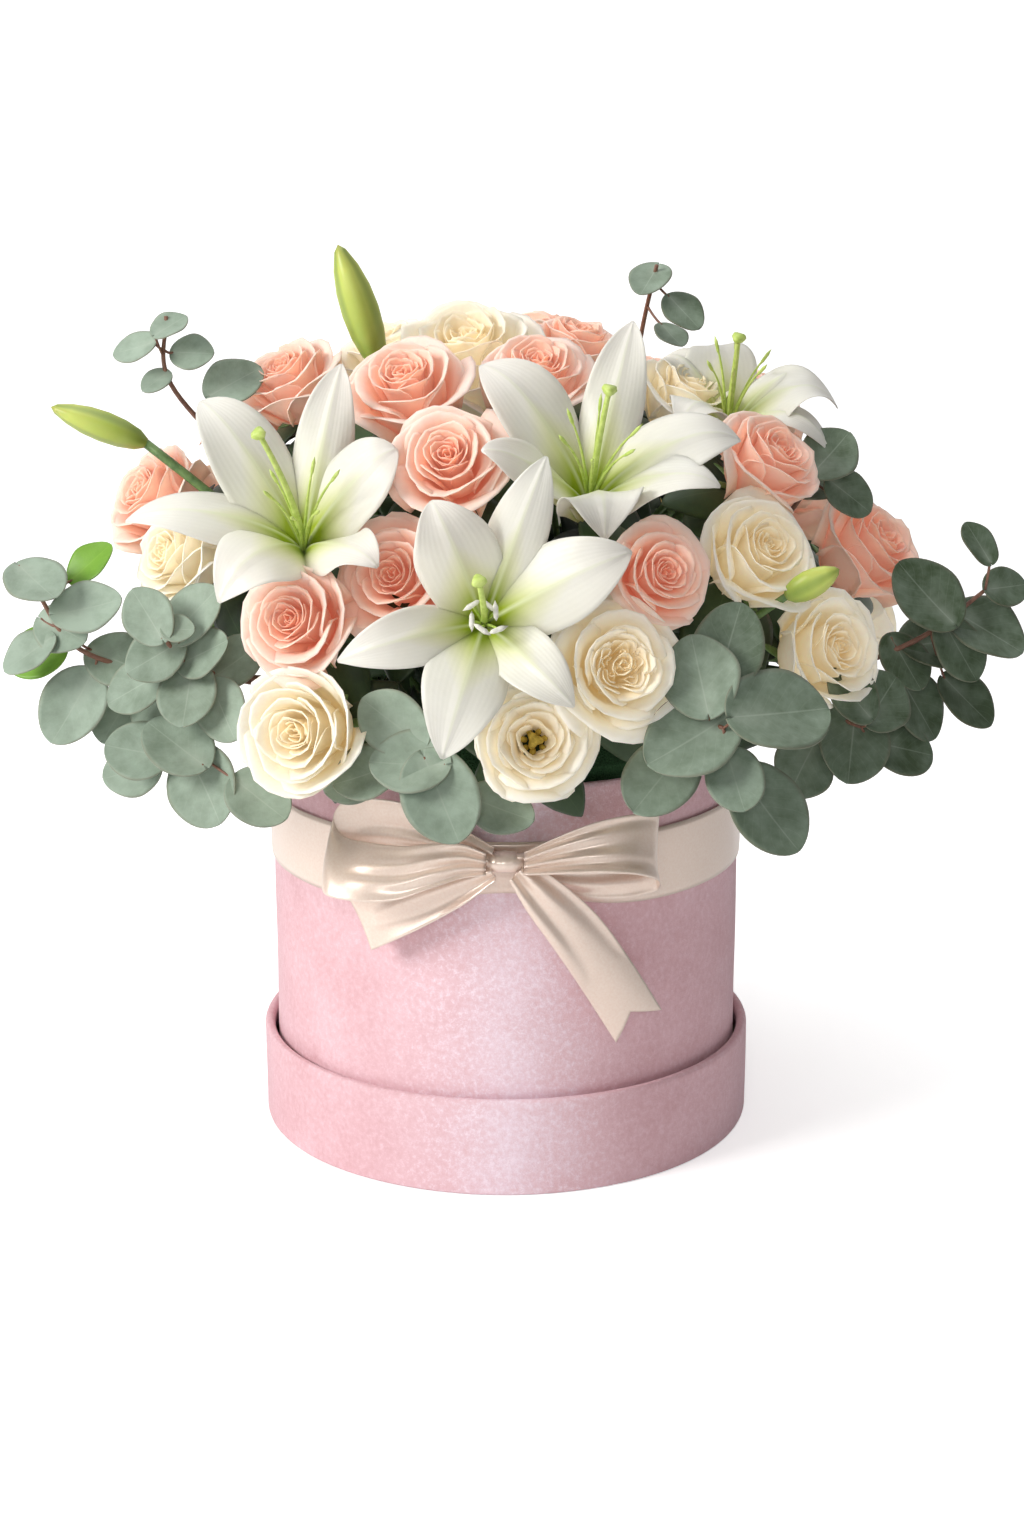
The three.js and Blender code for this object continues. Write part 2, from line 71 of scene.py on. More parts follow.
def basis(forward):
    """Columns are right, up and forward, for a thing that faces forward."""
    f = unit(forward)
    nearly_upright = abs(f[2]) > 0.98
    up = (0, 1, 0) if nearly_upright else (0, 0, 1)
    right = unit(np.cross(up, f))
    return np.stack([right, np.cross(f, right), f], axis=1)


def around(count):
    """Angles in equal steps round a circle."""
    return np.arange(count) * 2 * math.pi / count


def spoke(axes, angle):
    """Out from an axis, at an angle round it."""
    return axes @ vec(math.cos(angle), math.sin(angle), 0)


def bezier(points, t):
    """A Bezier curve of 3 or 4 control points at each t, which may be an array."""
    p = [np.asarray(q, float) for q in points]
    t = np.asarray(t, float)[..., None]
    while len(p) > 1:
        p = [a * (1 - t) + b * t for a, b in zip(p, p[1:])]
    return p[0]


def smooth_path(rows, count):
    """Catmull-Rom through rows of numbers, as count rows."""
    rows = np.asarray(rows, float)
    padded = np.vstack([2 * rows[0] - rows[1], rows, 2 * rows[-1] - rows[-2]])
    at = np.linspace(0, len(rows) - 1, count)
    i = np.minimum(at.astype(int), len(rows) - 2)
    t = (at - i)[:, None]
    a, b, c, d = (padded[i + k] for k in range(4))
    return 0.5 * (2 * b + (c - a) * t + (2 * a - 5 * b + 4 * c - d) * t**2 + (3 * b - a - 3 * c + d) * t**3)


def seeded(name):
    """A source of random numbers that gives a piece the same ones each run."""
    return np.random.default_rng(zlib.crc32(name.encode()))


# ---------- pieces
class Piece:
    """Collects closed shells into one mesh. Each point has a shade: three numbers that the materials read."""

    def __init__(self, name):
        self.name = name
        self.points, self.shades, self.faces = [], [], []
        self.count = 0

    def add(self, points, faces, shade, slot=0):
        points = np.asarray(points, float).reshape(-1, 3)
        shade = np.broadcast_to(np.asarray(shade, float), (len(points), 3))
        self.points.append(points)
        self.shades.append(shade)
        for group in faces:
            if len(group):
                self.faces.append((np.asarray(group, np.int32) + self.count, slot))
        self.count += len(points)

    def add_plain(self, solid, slot=0):
        """Adds points and faces whose material reads no shade."""
        self.add(*solid, PLAIN, slot)

    def add_shell(self, surface, thick, shade, slot=0):
        """Adds a thin shell round an open grid of points, with the same shades on both of its faces."""
        points, faces = shell(surface, thick)
        shade = shade.reshape(-1, 3)
        self.add(points, faces, np.concatenate([shade, shade]), slot)

    def build(self, body, materials, replaced):
        mesh = bpy.data.meshes.new(self.name)
        points = np.concatenate(self.points).astype(np.float32)
        corners = np.concatenate([group.ravel() for group, _ in self.faces])
        sizes = np.concatenate([np.full(len(group), group.shape[1], np.int32) for group, _ in self.faces])
        slots = np.concatenate([np.full(len(group), slot, np.int32) for group, slot in self.faces])
        mesh.vertices.add(len(points))
        mesh.vertices.foreach_set("co", points.ravel())
        mesh.loops.add(len(corners))
        mesh.loops.foreach_set("vertex_index", corners)
        mesh.polygons.add(len(sizes))
        mesh.polygons.foreach_set("loop_start", np.concatenate([[0], np.cumsum(sizes)[:-1]]).astype(np.int32))
        mesh.polygons.foreach_set("loop_total", sizes)
        mesh.polygons.foreach_set("material_index", slots)
        mesh.polygons.foreach_set("use_smooth", np.ones(len(sizes), bool))
        shade = mesh.attributes.new("shade", "FLOAT_VECTOR", "POINT")
        shade.data.foreach_set("vector", np.concatenate(self.shades).astype(np.float32).ravel())
        mesh.update(calc_edges=True)
        for each in materials:
            mesh.materials.append(each)
        obj = bpy.data.objects.new(self.name, mesh)
        bpy.context.scene.collection.objects.link(obj)
        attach(obj, body)
        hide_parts(*replaced)
        return obj


def grid_quads(rows, columns, start=0, flip=False):
    i = np.arange(rows - 1)[:, None] * columns + np.arange(columns - 1)[None, :] + start
    quads = np.stack([i, i + columns, i + columns + 1, i + 1], axis=-1).reshape(-1, 4)
    return quads[:, ::-1] if flip else quads


def ring_quads(rings, sides, closed=False):
    """Faces from each ring of points to the next, and from the last to the first if closed."""
    ring = np.arange(rings if closed else rings - 1)[:, None]
    after = (ring + 1) % rings
    side = np.arange(sides)
    beside = (side + 1) % sides
    i, j, k, m = (a * sides + b for a in (ring, after) for b in (side, beside))
    order = (i, k, m, j) if closed else (i, j, m, k)
    return np.stack(order, axis=-1).reshape(-1, 4)


def end_caps(rings, sides):
    """The faces that close the first and the last ring."""
    return np.stack([np.arange(sides)[::-1], np.arange(sides) + (rings - 1) * sides])


def shell(surface, thick):
    """A closed thin shell round an open grid of points (rows, columns, 3)."""
    rows, columns = surface.shape[:2]
    along = np.gradient(surface, axis=0)
    across = np.gradient(surface, axis=1)
    normal = unit(np.cross(along, across))
    half = normal * (np.asarray(thick)[..., None] / 2 if np.ndim(thick) else thick / 2)
    points = np.concatenate([(surface + half).reshape(-1, 3), (surface - half).reshape(-1, 3)])
    size = rows * columns
    rim = np.concatenate([
        np.arange(columns),
        np.arange(2, rows + 1) * columns - 1,
        np.arange(columns - 2, -1, -1) + (rows - 1) * columns,
        np.arange(rows - 2, 0, -1) * columns,
    ])
    following = np.roll(rim, -1)
    sides = np.stack([rim, following, following + size, rim + size], axis=1)
    return points, [np.concatenate([grid_quads(rows, columns), grid_quads(rows, columns, size, True), sides])]


def rod(path, radius, sides=8):
    """A closed tube along a path; radius is one number or one for each point."""
    radius = np.broadcast_to(np.asarray(radius, float), len(path))
    tangent = unit(np.gradient(path, axis=0))
    any_side = (0.3, 0.8, 0.5)
    side = unit(np.cross(tangent[0], any_side))
    angle = around(sides)
    rings = []
    for at, forward, r in zip(path, tangent, radius):
        side = unit(side - forward * (side @ forward))
        other = np.cross(forward, side)
        rings.append(at + r * (np.cos(angle)[:, None] * side + np.sin(angle)[:, None] * other))
    return np.concatenate(rings), [ring_quads(len(path), sides), end_caps(len(path), sides)]


def scaled(profile, across, along):
    """A profile of (radius, height) points, made wider and longer."""
    return [(r * across, z * along) for r, z in profile]


def blob(place, facing, profile, sides, wave=0.0):
    """A closed lathe of (radius, height) points from its axis to its axis, with three shallow lobes."""
    angle = around(sides)
    lobed = 1 + wave * np.cos(3 * angle)
    inner = profile[1:-1]
    rings = [
        np.stack([r * lobed * np.cos(angle), r * lobed * np.sin(angle), np.full(sides, z)], axis=1)
        for r, z in inner
    ]
    local = np.concatenate([*rings, [[0, 0, profile[0][1]], [0, 0, profile[-1][1]]]])
    first = np.arange(sides)
    last = first + (len(inner) - 1) * sides
    low = np.stack([np.roll(first, -1), first, np.full(sides, len(inner) * sides)], axis=1)
    high = np.stack([last, np.roll(last, -1), np.full(sides, len(inner) * sides + 1)], axis=1)
    return place + local @ basis(facing).T, [ring_quads(len(inner), sides), np.concatenate([low, high])]


def turned(outline, sides):
    """A closed ring: a closed anticlockwise outline of (radius, height) points, turned about Z."""
    radius, height = np.asarray(outline, float).T
    angle = around(sides)
    points = np.stack([
        np.cos(angle)[:, None] * radius,
        np.sin(angle)[:, None] * radius,
        np.broadcast_to(height, (sides, len(outline))),
    ], axis=-1)
    return points.reshape(-1, 3), [ring_quads(sides, len(outline), closed=True)]


# ---------- materials
def linear(r, g, b):
    """An sRGB colour of 0 to 255 as the linear colour that shaders take."""
    c = np.array([r, g, b]) / 255
    c = np.where(c <= 0.04045, c / 12.92, ((c + 0.055) / 1.055) ** 2.4)
    return (*c.tolist(), 1.0)


class Look:
    """One procedural material: its Principled shader, and helpers that add nodes to it.
    Colours are given as sRGB of 0 to 255."""

    def __init__(self, name, **values):
        self.material = bpy.data.materials.new(name)
        self.material.use_nodes = True
        self.tree = self.material.node_tree
        self.shader = self.tree.nodes["Principled BSDF"]
        for key, value in values.items():
            self.shader.inputs[key.replace("_", " ")].default_value = value

    def node(self, kind, inputs=None, **settings):
        node = self.tree.nodes.new(kind)
        for key, value in settings.items():
            setattr(node, key, value)
        for key, value in (inputs or {}).items():
            if isinstance(value, bpy.types.NodeSocket):
                self.tree.links.new(value, node.inputs[key])
            else:
                node.inputs[key].default_value = value
        return node

    def link(self, output, name):
        self.tree.links.new(output, self.shader.inputs[name])

    def place(self):
        return self.node("ShaderNodeTexCoord").outputs["Object"]

    def shade(self):
        """The three numbers of the shade attribute."""
        attribute = self.node("ShaderNodeAttribute", attribute_name="shade")
        return self.node("ShaderNodeSeparateXYZ", {0: attribute.outputs["Vector"]}).outputs

    def noise(self, scale, detail=3.0, roughness=0.55, at=None):
        inputs = {"Vector": at or self.place(), "Scale": scale, "Detail": detail, "Roughness": roughness}
        return self.node("ShaderNodeTexNoise", inputs).outputs[0]

    def math(self, operation, a, b=0.0, clamp=False):
        inputs = {0: a, 1: b}
        return self.node("ShaderNodeMath", inputs, operation=operation, use_clamp=clamp).outputs[0]

    def plus(self, a, b, clamp=False):
        return self.math("ADD", a, b, clamp)

    def times(self, a, b, clamp=False):
        return self.math("MULTIPLY", a, b, clamp)

    def remap(self, value, low, high, to_low=0.0, to_high=1.0):
        inputs = {"Value": value, "From Min": low, "From Max": high, "To Min": to_low, "To Max": to_high}
        return self.node("ShaderNodeMapRange", inputs).outputs[0]

    def ramp(self, value, stops):
        node = self.node("ShaderNodeValToRGB", {"Fac": value})
        elements = node.color_ramp.elements
        while len(elements) < len(stops):
            elements.new(0.5)
        for element, (position, colour) in zip(elements, stops):
            element.position = position
            element.color = linear(*colour)
        return node.outputs["Color"]

    def mix(self, factor, a, b, blend="MIX"):
        node = self.node("ShaderNodeMix", {"Factor": factor}, data_type="RGBA", blend_type=blend)
        for socket, value in ((node.inputs[6], a), (node.inputs[7], b)):
            if isinstance(value, bpy.types.NodeSocket):
                self.tree.links.new(value, socket)
            else:
                socket.default_value = linear(*value)
        return node.outputs[2]

    def dimmed(self, colour, amount):
        grey = self.node("ShaderNodeCombineColor", {0: amount, 1: amount, 2: amount}).outputs[0]
        return self.mix(1.0, colour, grey, "MULTIPLY")

    def finished(self, colour, height, strength, distance=0.0003):
        """The material, with its base colour and a bump of this height."""
        self.link(colour, "Base Color")
        inputs = {"Height": height, "Strength": strength, "Distance": distance}
        self.link(self.node("ShaderNodeBump", inputs).outputs["Normal"], "Normal")
        return self.material


def petal_look(name, deep, middle, lip, heart, glow):
    """Petals: deep at the base, paler at the lip, more saturated in the heart of the bloom."""
    look = Look(
        name, Roughness=0.5, Subsurface_Weight=0.35, Subsurface_Scale=0.007,
        Subsurface_Radius=glow, Sheen_Weight=0.06, Sheen_Roughness=0.4, Specular_IOR_Level=0.25,
    )
    along, ring, _ = look.shade()
    colour = look.ramp(along, [(0.0, deep), (0.6, middle), (0.95, lip)])
    inner = look.math("SUBTRACT", 1.0, ring, True)
    colour = look.mix(look.times(inner, 0.8), colour, heart)
    colour = look.dimmed(colour, look.remap(look.noise(300.0, 4.0, 0.6), 0.3, 0.7, 0.95, 1.03))
    # Painted glow: the petals emit a little of their own colour, in place of the light that comes through
    # those behind them.
    look.link(colour, "Emission Color")
    look.shader.inputs["Emission Strength"].default_value = 0.08
    return look.finished(colour, look.noise(900.0, 3.0), 0.1)


def lily_look():
    """White, with a green wedge that runs out of the throat along each midrib."""
    look = Look(
        "lily_petal", Roughness=0.42, Subsurface_Weight=0.3, Subsurface_Scale=0.006,
        Subsurface_Radius=(1.0, 1.0, 0.8), Specular_IOR_Level=0.4, Sheen_Weight=0.1,
    )
    along, across, _ = look.shade()
    white = look.mix(along, (228, 227, 206), (234, 232, 221))
    spread = look.plus(along, look.times(across, 0.38))
    wedge = look.times(look.math("SUBTRACT", 0.70, spread), 2.4, True)
    colour = look.mix(wedge, white, look.mix(wedge, (220, 222, 132), (156, 176, 34)))
    fold = look.remap(across, 0.0, 0.09, 1.0, 0.0)
    rib = look.times(fold, look.remap(along, 0.3, 1.0, 0.75, 0.2), True)
    colour = look.mix(rib, colour, (220, 226, 186))
    ridges = look.math("SINE", look.times(across, 46.0))
    fine = look.plus(look.times(ridges, 0.3), look.noise(420.0, 3.0))
    colour = look.dimmed(colour, look.remap(fine, -0.5, 1.5, 0.965, 1.01))
    return look.finished(colour, fine, 0.12, 0.0004)


def bud_look():
    """A closed lily bud: green at its base and along its seams, yellow-green where it is full."""
    look = Look(
        "bud", Roughness=0.38, Specular_IOR_Level=0.45, Subsurface_Weight=0.15, Subsurface_Scale=0.004,
    )
    along, seam, _ = look.shade()
    stops = [(0.0, (112, 140, 44)), (0.4, (164, 184, 72)), (0.8, (192, 204, 98)), (1.0, (150, 160, 70))]
    colour = look.ramp(along, stops)
    colour = look.mix(look.remap(seam, 0.55, 1.0, 0.0, 0.65), colour, (108, 138, 46))
    streaks = look.times(look.noise(130.0, 4.0), 0.25)
    colour = look.mix(streaks, colour, (214, 220, 140))
    return look.finished(colour, look.noise(500.0, 3.0), 0.1)


def leaf_look(name, dark, light, bloom, rim, roughness=0.5):
    """Leaves: shade is along the leaf, distance from the midrib and a tone, which is random and on the
    sprigs' leaves also painted light and shade.
    """
    look = Look(name, Roughness=roughness, Sheen_Weight=0.12, Specular_IOR_Level=0.35)
    along, across, tone = look.shade()
    mottle = look.remap(look.noise(110.0, 5.0, 0.6), 0.3, 0.7, -0.2, 0.2)
    colour = look.mix(look.plus(tone, mottle, True), dark, light)
    inner = look.remap(across, 0.0, 0.5, 1.0, 0.0)
    heart = look.times(inner, look.remap(along, 0.0, 0.6, 0.45, 0.0), True)
    colour = look.mix(heart, colour, bloom)
    midrib = look.remap(across, 0.0, 0.035, 0.34, 0.0)
    slanted = look.plus(look.times(along, 7.0), look.times(across, -2.8))
    side_veins = look.remap(look.math("PINGPONG", slanted, 0.5), 0.0, 0.05, 0.11, 0.0)
    colour = look.mix(look.math("MAXIMUM", midrib, side_veins), colour, bloom)
    colour = look.mix(look.remap(across, 0.9, 1.0, 0.0, 0.4), colour, rim)
    height = look.plus(look.times(side_veins, -1.0), look.noise(500.0, 3.0))
    return look.finished(colour, height, 0.22)


def plain_look(name, dark, light, roughness, scale=160.0, bump=0.3, **values):
    """A mottled surface with a fine grain."""
    look = Look(name, Roughness=roughness, **values)
    colour = look.mix(look.remap(look.noise(scale, 4.0), 0.3, 0.7), dark, light)
    return look.finished(colour, look.noise(scale * 7, 3.0), bump)


def velvet_look():
    """Velvet: a fine pile, with a painted highlight down the front and painted glints of single fibres."""
    look = Look(
        "velvet", Roughness=0.75, Specular_IOR_Level=0.25, Sheen_Weight=0.6, Sheen_Roughness=0.3,
        Sheen_Tint=linear(255, 232, 240),
    )
    place = look.place()
    parts = look.node("ShaderNodeSeparateXYZ", {0: place}).outputs
    clouds = look.noise(26.0, 4.0, 0.6, place)
    crush = look.noise(420.0, 4.0, 0.7, place)
    fibres = look.noise(1500.0, 3.0, 0.75, place)
    # painted highlight: the pile is painted paler down the front of the box, where the light catches the nap
    aside = look.plus(look.math("ABSOLUTE", parts[0]), look.times(clouds, 0.05))
    front = look.remap(parts[1], -0.04, -0.10, 0.0, 1.0)
    painted_highlight = look.times(look.remap(aside, 0.028, 0.085, 1.0, 0.0), front, True)
    tone = look.plus(look.times(clouds, 0.55), look.times(crush, 0.5))
    tone = look.plus(tone, look.times(painted_highlight, 0.3))
    colour = look.ramp(look.remap(tone, 0.38, 0.92), [
        (0.0, (218, 172, 178)), (0.5, (233, 195, 202)), (1.0, (247, 226, 237)),
    ])
    # painted glints: pale specks where single fibres catch the light, more of them in the painted highlight
    painted_glint = look.remap(look.times(crush, fibres), 0.27, 0.36)
    painted_glint = look.times(painted_glint, look.plus(look.times(painted_highlight, 0.6), 0.14), True)
    colour = look.mix(painted_glint, colour, (255, 236, 244))
    pile = look.plus(look.times(crush, 1.2), fibres)
    return look.finished(colour, pile, 0.4, 0.0007)


def satin_look():
    """Double-faced satin: long smooth highlights, with fine threads across it."""
    look = Look(
        "satin", Roughness=0.3, Metallic=0.3, Specular_IOR_Level=1.0, Coat_Weight=0.3, Coat_Roughness=0.15,
        Sheen_Weight=0.1, Sheen_Roughness=0.3, Sheen_Tint=linear(255, 236, 220),
    )
    _, across, _ = look.shade()
    threads = look.math("SINE", look.times(across, 260.0))
    weave = look.noise(900.0, 2.0)
    colour = look.mix(look.remap(weave, 0.3, 0.7), (237, 214, 198), (242, 223, 209))
    colour = look.mix(look.remap(across, 0.94, 0.99, 0.0, 0.3), colour, (247, 233, 223))
    return look.finished(colour, look.plus(threads, weave), 0.02, 0.0002)


def foam_look():
    """Floral foam: dark green and full of fine pores."""
    look = Look("foam", Roughness=0.95, Specular_IOR_Level=0.1)
    pores = look.node("ShaderNodeTexVoronoi", {"Vector": look.place(), "Scale": 900.0}).outputs["Distance"]
    colour = look.mix(look.noise(60.0, 4.0), (38, 66, 42), (66, 100, 66))
    return look.finished(colour, pores, 0.8, 0.0008)


LOOKS = {
    "velvet": velvet_look(),
    "satin": satin_look(),
    "foam": foam_look(),
    "card": plain_look("card", (176, 160, 138), (200, 186, 164), 0.85),
    "lining": plain_look("lining", (232, 226, 216), (244, 240, 233), 0.7, 300.0),
    "liner": plain_look("liner", (44, 50, 45), (60, 66, 60), 0.42, 220.0, 0.1),
    "peach": petal_look(
        "peach_petal", (250, 163, 130), (254, 203, 180), (255, 221, 204), (248, 157, 122),
        (1.0, 0.5, 0.35),
    ),
    "cream": petal_look(
        "cream_petal", (250, 226, 166), (254, 242, 212), (255, 249, 231), (250, 222, 164),
        (1.0, 0.85, 0.55),
    ),
    "lily": lily_look(),
    # Silver leaves: their tone runs from the green of a leaf in shade to that of a leaf in the light, so it
    # paints light and shade as well as each leaf's own tone.
    "eucalyptus": leaf_look(
        "eucalyptus_leaf", (66, 84, 56), (154, 171, 154), (176, 188, 172), (128, 118, 98), 0.6,
    ),
    # Rose leaves: their own dark green, made darker still as painted shade in the gaps between the blooms,
    # where many of them stand.
    "rose_leaf": leaf_look(
        "rose_leaf", (26, 42, 24), (56, 80, 44), (76, 98, 62), (40, 56, 30), 0.45,
    ),
    "stem": plain_look("stem", (74, 104, 56), (116, 146, 84), 0.5, 260.0, 0.2),
    "twig": plain_look("twig", (110, 72, 58), (142, 104, 84), 0.55, 260.0, 0.2),
    "lime": plain_look("lime", (170, 196, 84), (206, 222, 130), 0.45, 320.0, 0.15),
    "bud": bud_look(),
    "fresh": leaf_look(
        "fresh_leaf", (70, 118, 26), (118, 164, 52), (150, 188, 84), (90, 130, 40), 0.4,
    ),
    "gold": plain_look("gold", (150, 122, 30), (214, 184, 74), 0.7, 600.0, 0.4),
    "anther": plain_look("anther", (206, 204, 194), (240, 238, 228), 0.8, 700.0, 0.5),
}


# ---------- sizes that come from the frame
FOAM_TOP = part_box("floral_foam")[1].z
BAND_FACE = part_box("ribbon_band")[1].x  # radius of the band's outside
KNOT_LOW, KNOT_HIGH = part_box("bow_knot")
KNOT_HEIGHT = (KNOT_LOW.z + KNOT_HIGH.z) / 2
ROUND = 192  # segments round the box
VELVET = 0.9 * MM
TURN_IN = 10 * MM  # how far the velvet runs down inside a rim
RIM = 5 * MM  # width of a rim with velvet on both sides
PAPER = 0.6 * MM
LINER_WALL = 0.9 * MM


# ---------- box and tray
def rolled_outline(outer, low, top):
    """The outline of velvet outside a wall, rolled over its rim with soft round corners and turned in."""
    soft = 2.4 * MM  # radius of the rolled corners
    tucked = 0.5 * MM  # how far the lower edge is drawn in
    inner = outer - RIM
    corner = np.linspace(0, math.pi / 2, 7)
    outside = [(outer - soft + soft * math.cos(a), top - soft + soft * math.sin(a)) for a in corner]
    inside = [(inner + soft - soft * math.sin(a), top - soft + soft * math.cos(a)) for a in corner]
    face = np.linspace(low + 1.2 * MM, top - soft, 24)[:-1]
    tuck = [(outer - tucked, low), (outer - 0.1 * MM, low + tucked)]
    back = [
        (inner, top - TURN_IN), (inner + VELVET, top - TURN_IN), (inner + VELVET, top - soft - VELVET),
        (inner + soft, top - VELVET), (outer - soft, top - VELVET), (outer - VELVET, top - soft - VELVET),
        (outer - VELVET, low),
    ]
    return tuck + [(outer, z) for z in face] + outside + inside + back


def velvet_skin(name, body, node):
    low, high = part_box(node)
    outer = high.x
    points, faces = turned(rolled_outline(outer, low.z, high.z), ROUND)
    # The card under the velvet is never quite round, and its pile is never quite even.
    angle = np.arctan2(points[:, 1], points[:, 0])
    swell = 0.22 * MM * np.sin(3 * angle + 0.7) + 0.12 * MM * np.sin(7 * angle + 90 * points[:, 2])
    reach = np.hypot(points[:, 0], points[:, 1])
    drawn_in = 0.3 * MM  # so that it dips in more than it swells out
    points[:, :2] *= (1 + np.where(reach > outer - VELVET, swell - drawn_in, 0) / reach)[:, None]
    piece = Piece(name)
    piece.add_plain((points, faces))
    skin = piece.build(body, [LOOKS["velvet"]], [node])


def smooth_ring(name, body, node, look, wall, floor=0.0):
    """A plain round wall, with a floor if floor is its thickness, in place of a faceted one."""
    low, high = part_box(node)
    outer, inner = high.x, high.x - wall
    lip = wall / 3
    pinhole = 0.2 * MM  # radius left open in the middle of a floor
    rim = high.z - lip
    outline = [(outer, low.z), (outer, rim), (outer - lip, high.z), (inner + lip, high.z), (inner, rim)]
    if floor:
        outline += [(inner, low.z + floor), (pinhole, low.z + floor), (pinhole, low.z)]
    else:
        outline += [(inner, low.z)]
    piece = Piece(name)
    piece.add_plain(turned(outline, ROUND // 2))
    piece.build(body, [LOOKS[look]], [node])


def make_box():
    velvet_skin("box_velvet", "box", "box_velvet_cover")
    velvet_skin("tray_velvet", "tray", "tray_velvet_band")
    smooth_ring("box_lining_paper", "box", "box_lining", "lining", PAPER)
    smooth_ring("liner_pot", "arrangement", "liner", "liner", LINER_WALL, LINER_WALL)
    for node, look in (
        ("tray_velvet_disc", "velvet"), ("tray_card_disc", "card"), ("tray_card_rim", "card"),
        ("box_base_card", "card"), ("box_card_wall", "card"), ("floral_foam", "foam"),
    ):
        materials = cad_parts[node].data.materials
        materials.clear()
        materials.append(LOOKS[look])


# ---------- ribbon and bow
RIBBON = 33 * MM
GRIPPED = 9 * MM  # its width where the knot grips it
SATIN_THICK = 0.35 * MM
PLEAT = 1.5 * MM  # depth of the folds at the knot
FOLD_REACH = 62 * MM  # how far from the knot they run
RIPPLE = 0.9 * MM  # height of the soft waves where the ribbon is at its full width
BOW_WRAP = 18  # degrees that each side of the bow turns back round the box
STAND_OFF = (BAND_FACE + MM) / math.cos(math.radians(BOW_WRAP))


def from_bow(side, points):
    """Points of (across, off the band, up) in metres from the knot, put where the box's side is -1 or 1."""
    turn = math.radians(BOW_WRAP * side)
    across, off, up = points[..., 0], points[..., 1], points[..., 2]
    x = across * math.cos(turn) + off * math.sin(turn)
    y = across * math.sin(turn) - off * math.cos(turn)
    return np.stack([x, y - STAND_OFF, up + KNOT_HEIGHT], axis=-1)


def ribbon_shade(along, across):
    """Shades for a grid of ribbon: how far along it each row is, and how far from its middle each column."""
    along, across = np.broadcast_arrays(along[:, None], across)
    return np.stack([along, across, np.zeros_like(along)], axis=-1)


def strip_rows(path, s, notch):
    """A strip's middle, width and lean at each of its points. A notch draws the rows in towards its end."""
    count = len(path)
    centre, lean, width = path[:, :3] * MM, path[:, 3], path[:, 4] * MM
    if not notch:
        return [np.repeat(each[:, None], len(s), axis=1) for each in (centre, width, lean)]
    pick = np.linspace(0, 1, count)[:, None] * (1 - notch * (1 - np.abs(s))) * (count - 1)
    low = np.minimum(pick.astype(int), count - 2)
    part_way = (pick - low)[..., None]
    return centre[low] * (1 - part_way) + centre[low + 1] * part_way, width[low], lean[low]


def strip_edge(tangent, lean, side, held):
    """The direction from a strip's middle to its upper edge at each of its points."""
    if held == "hung":
        flat_across = np.stack([-tangent[:, 2], np.zeros(len(tangent)), tangent[:, 0]], axis=1) * side
        return unit(flat_across)[:, None, :]
    return np.stack([np.zeros_like(lean), -lean, np.sqrt(np.maximum(1 - lean**2, 0.05))], axis=-1)


def ribbon_strip(part, side, rows, folds, held, notch=0.0, crown=2.4 * MM):
    """Ribbon through rows of (across, off, up, lean, width) in mm, gathered into folds at the knot.
    lean is how far its upper edge leans towards the box, from -1 to 1, and notch is how much of the rows'
    length its middle loses when its end is cut to a notch."""
    path = smooth_path(rows, 72)
    s = np.linspace(-1, 1, 25)
    middle, wide, lean = strip_rows(path, s, notch)
    centre = path[:, :3] * MM
    tangent = unit(np.gradient(centre, axis=0))
    edge = strip_edge(tangent, lean, side, held)
    off = unit(np.cross(edge, tangent[:, None, :]))
    gather = np.clip((RIBBON - wide) / (RIBBON - GRIPPED), 0, 1)
    pleat = np.sin(folds * math.pi * s + 0.6 * side)
    away = np.linalg.norm(centre - centre[0], axis=1)[:, None]
    near = np.clip(1 - away / FOLD_REACH, 0, 1) ** (0.8 + 0.5 * np.sin(4 * s + side))
    depth = near * PLEAT * pleat + (1 - s**2) * crown * (1 - gather)
    along = np.linspace(0, 9, len(path))[:, None]
    ripple = RIPPLE * np.sin(along) * np.sin(2.2 * s + 1.0) * (1 - gather)
    surface = middle + edge * (s[None, :, None] * wide[..., None] / 2) + off * (depth + ripple)[..., None]
    piece = Piece("ribbon_" + part)
    shade = ribbon_shade(np.linspace(0, 1, len(path)), np.abs(s))
    piece.add_shell(from_bow(side, surface), SATIN_THICK, shade)
    ribbon = piece.build("box", [LOOKS["satin"]], ["bow_" + part])


LOOP_LEFT = [
    (-4, 4, 2, 0, 10), (-20, 4, 5, 0, 20), (-40, 4, 8, 0, 29), (-60, 5, 9, 0, 31), (-72, 8, 7, 0.1, 30),
    (-76, 13, 2, 0.4, 28), (-71, 19, -3, 0.66, 29), (-56, 21, -4, 0.68, 28), (-41, 19, -3.5, 0.62, 25),
    (-27, 15, 0, 0.5, 20), (-16, 11, 2, 0.2, 15), (-6, 8, 1, 0, 10),
]
LOOP_RIGHT = [
    (4, 4, -1, 0, 10), (20, 4, -4, 0.1, 18), (38, 5, -5, 0.3, 26), (52, 6, -4, 0.4, 30), (61, 8, -2, 0.3, 31),
    (66, 13, 1, 0.1, 31), (62, 20, 6.5, 0.3, 29), (50, 23, 9.5, 0.45, 26), (35, 20, 8.5, 0.45, 22),
    (20, 14, 5, 0.3, 16), (6, 8, 1, 0, 10),
]
TAIL_LEFT = [(-4, 6, -2, 0, 10), (-20, 8, -8, 0, 22), (-42, 9, -18, 0, 29), (-66, 8, -30, 0, 31)]
TAIL_RIGHT = [
    (4, 6, -3, 0, 11), (14, 10, -14, 0, 19), (29, 11, -32, 0, 24), (44, 9, -54, 0, 25), (60, 7, -80, 0, 25),
]


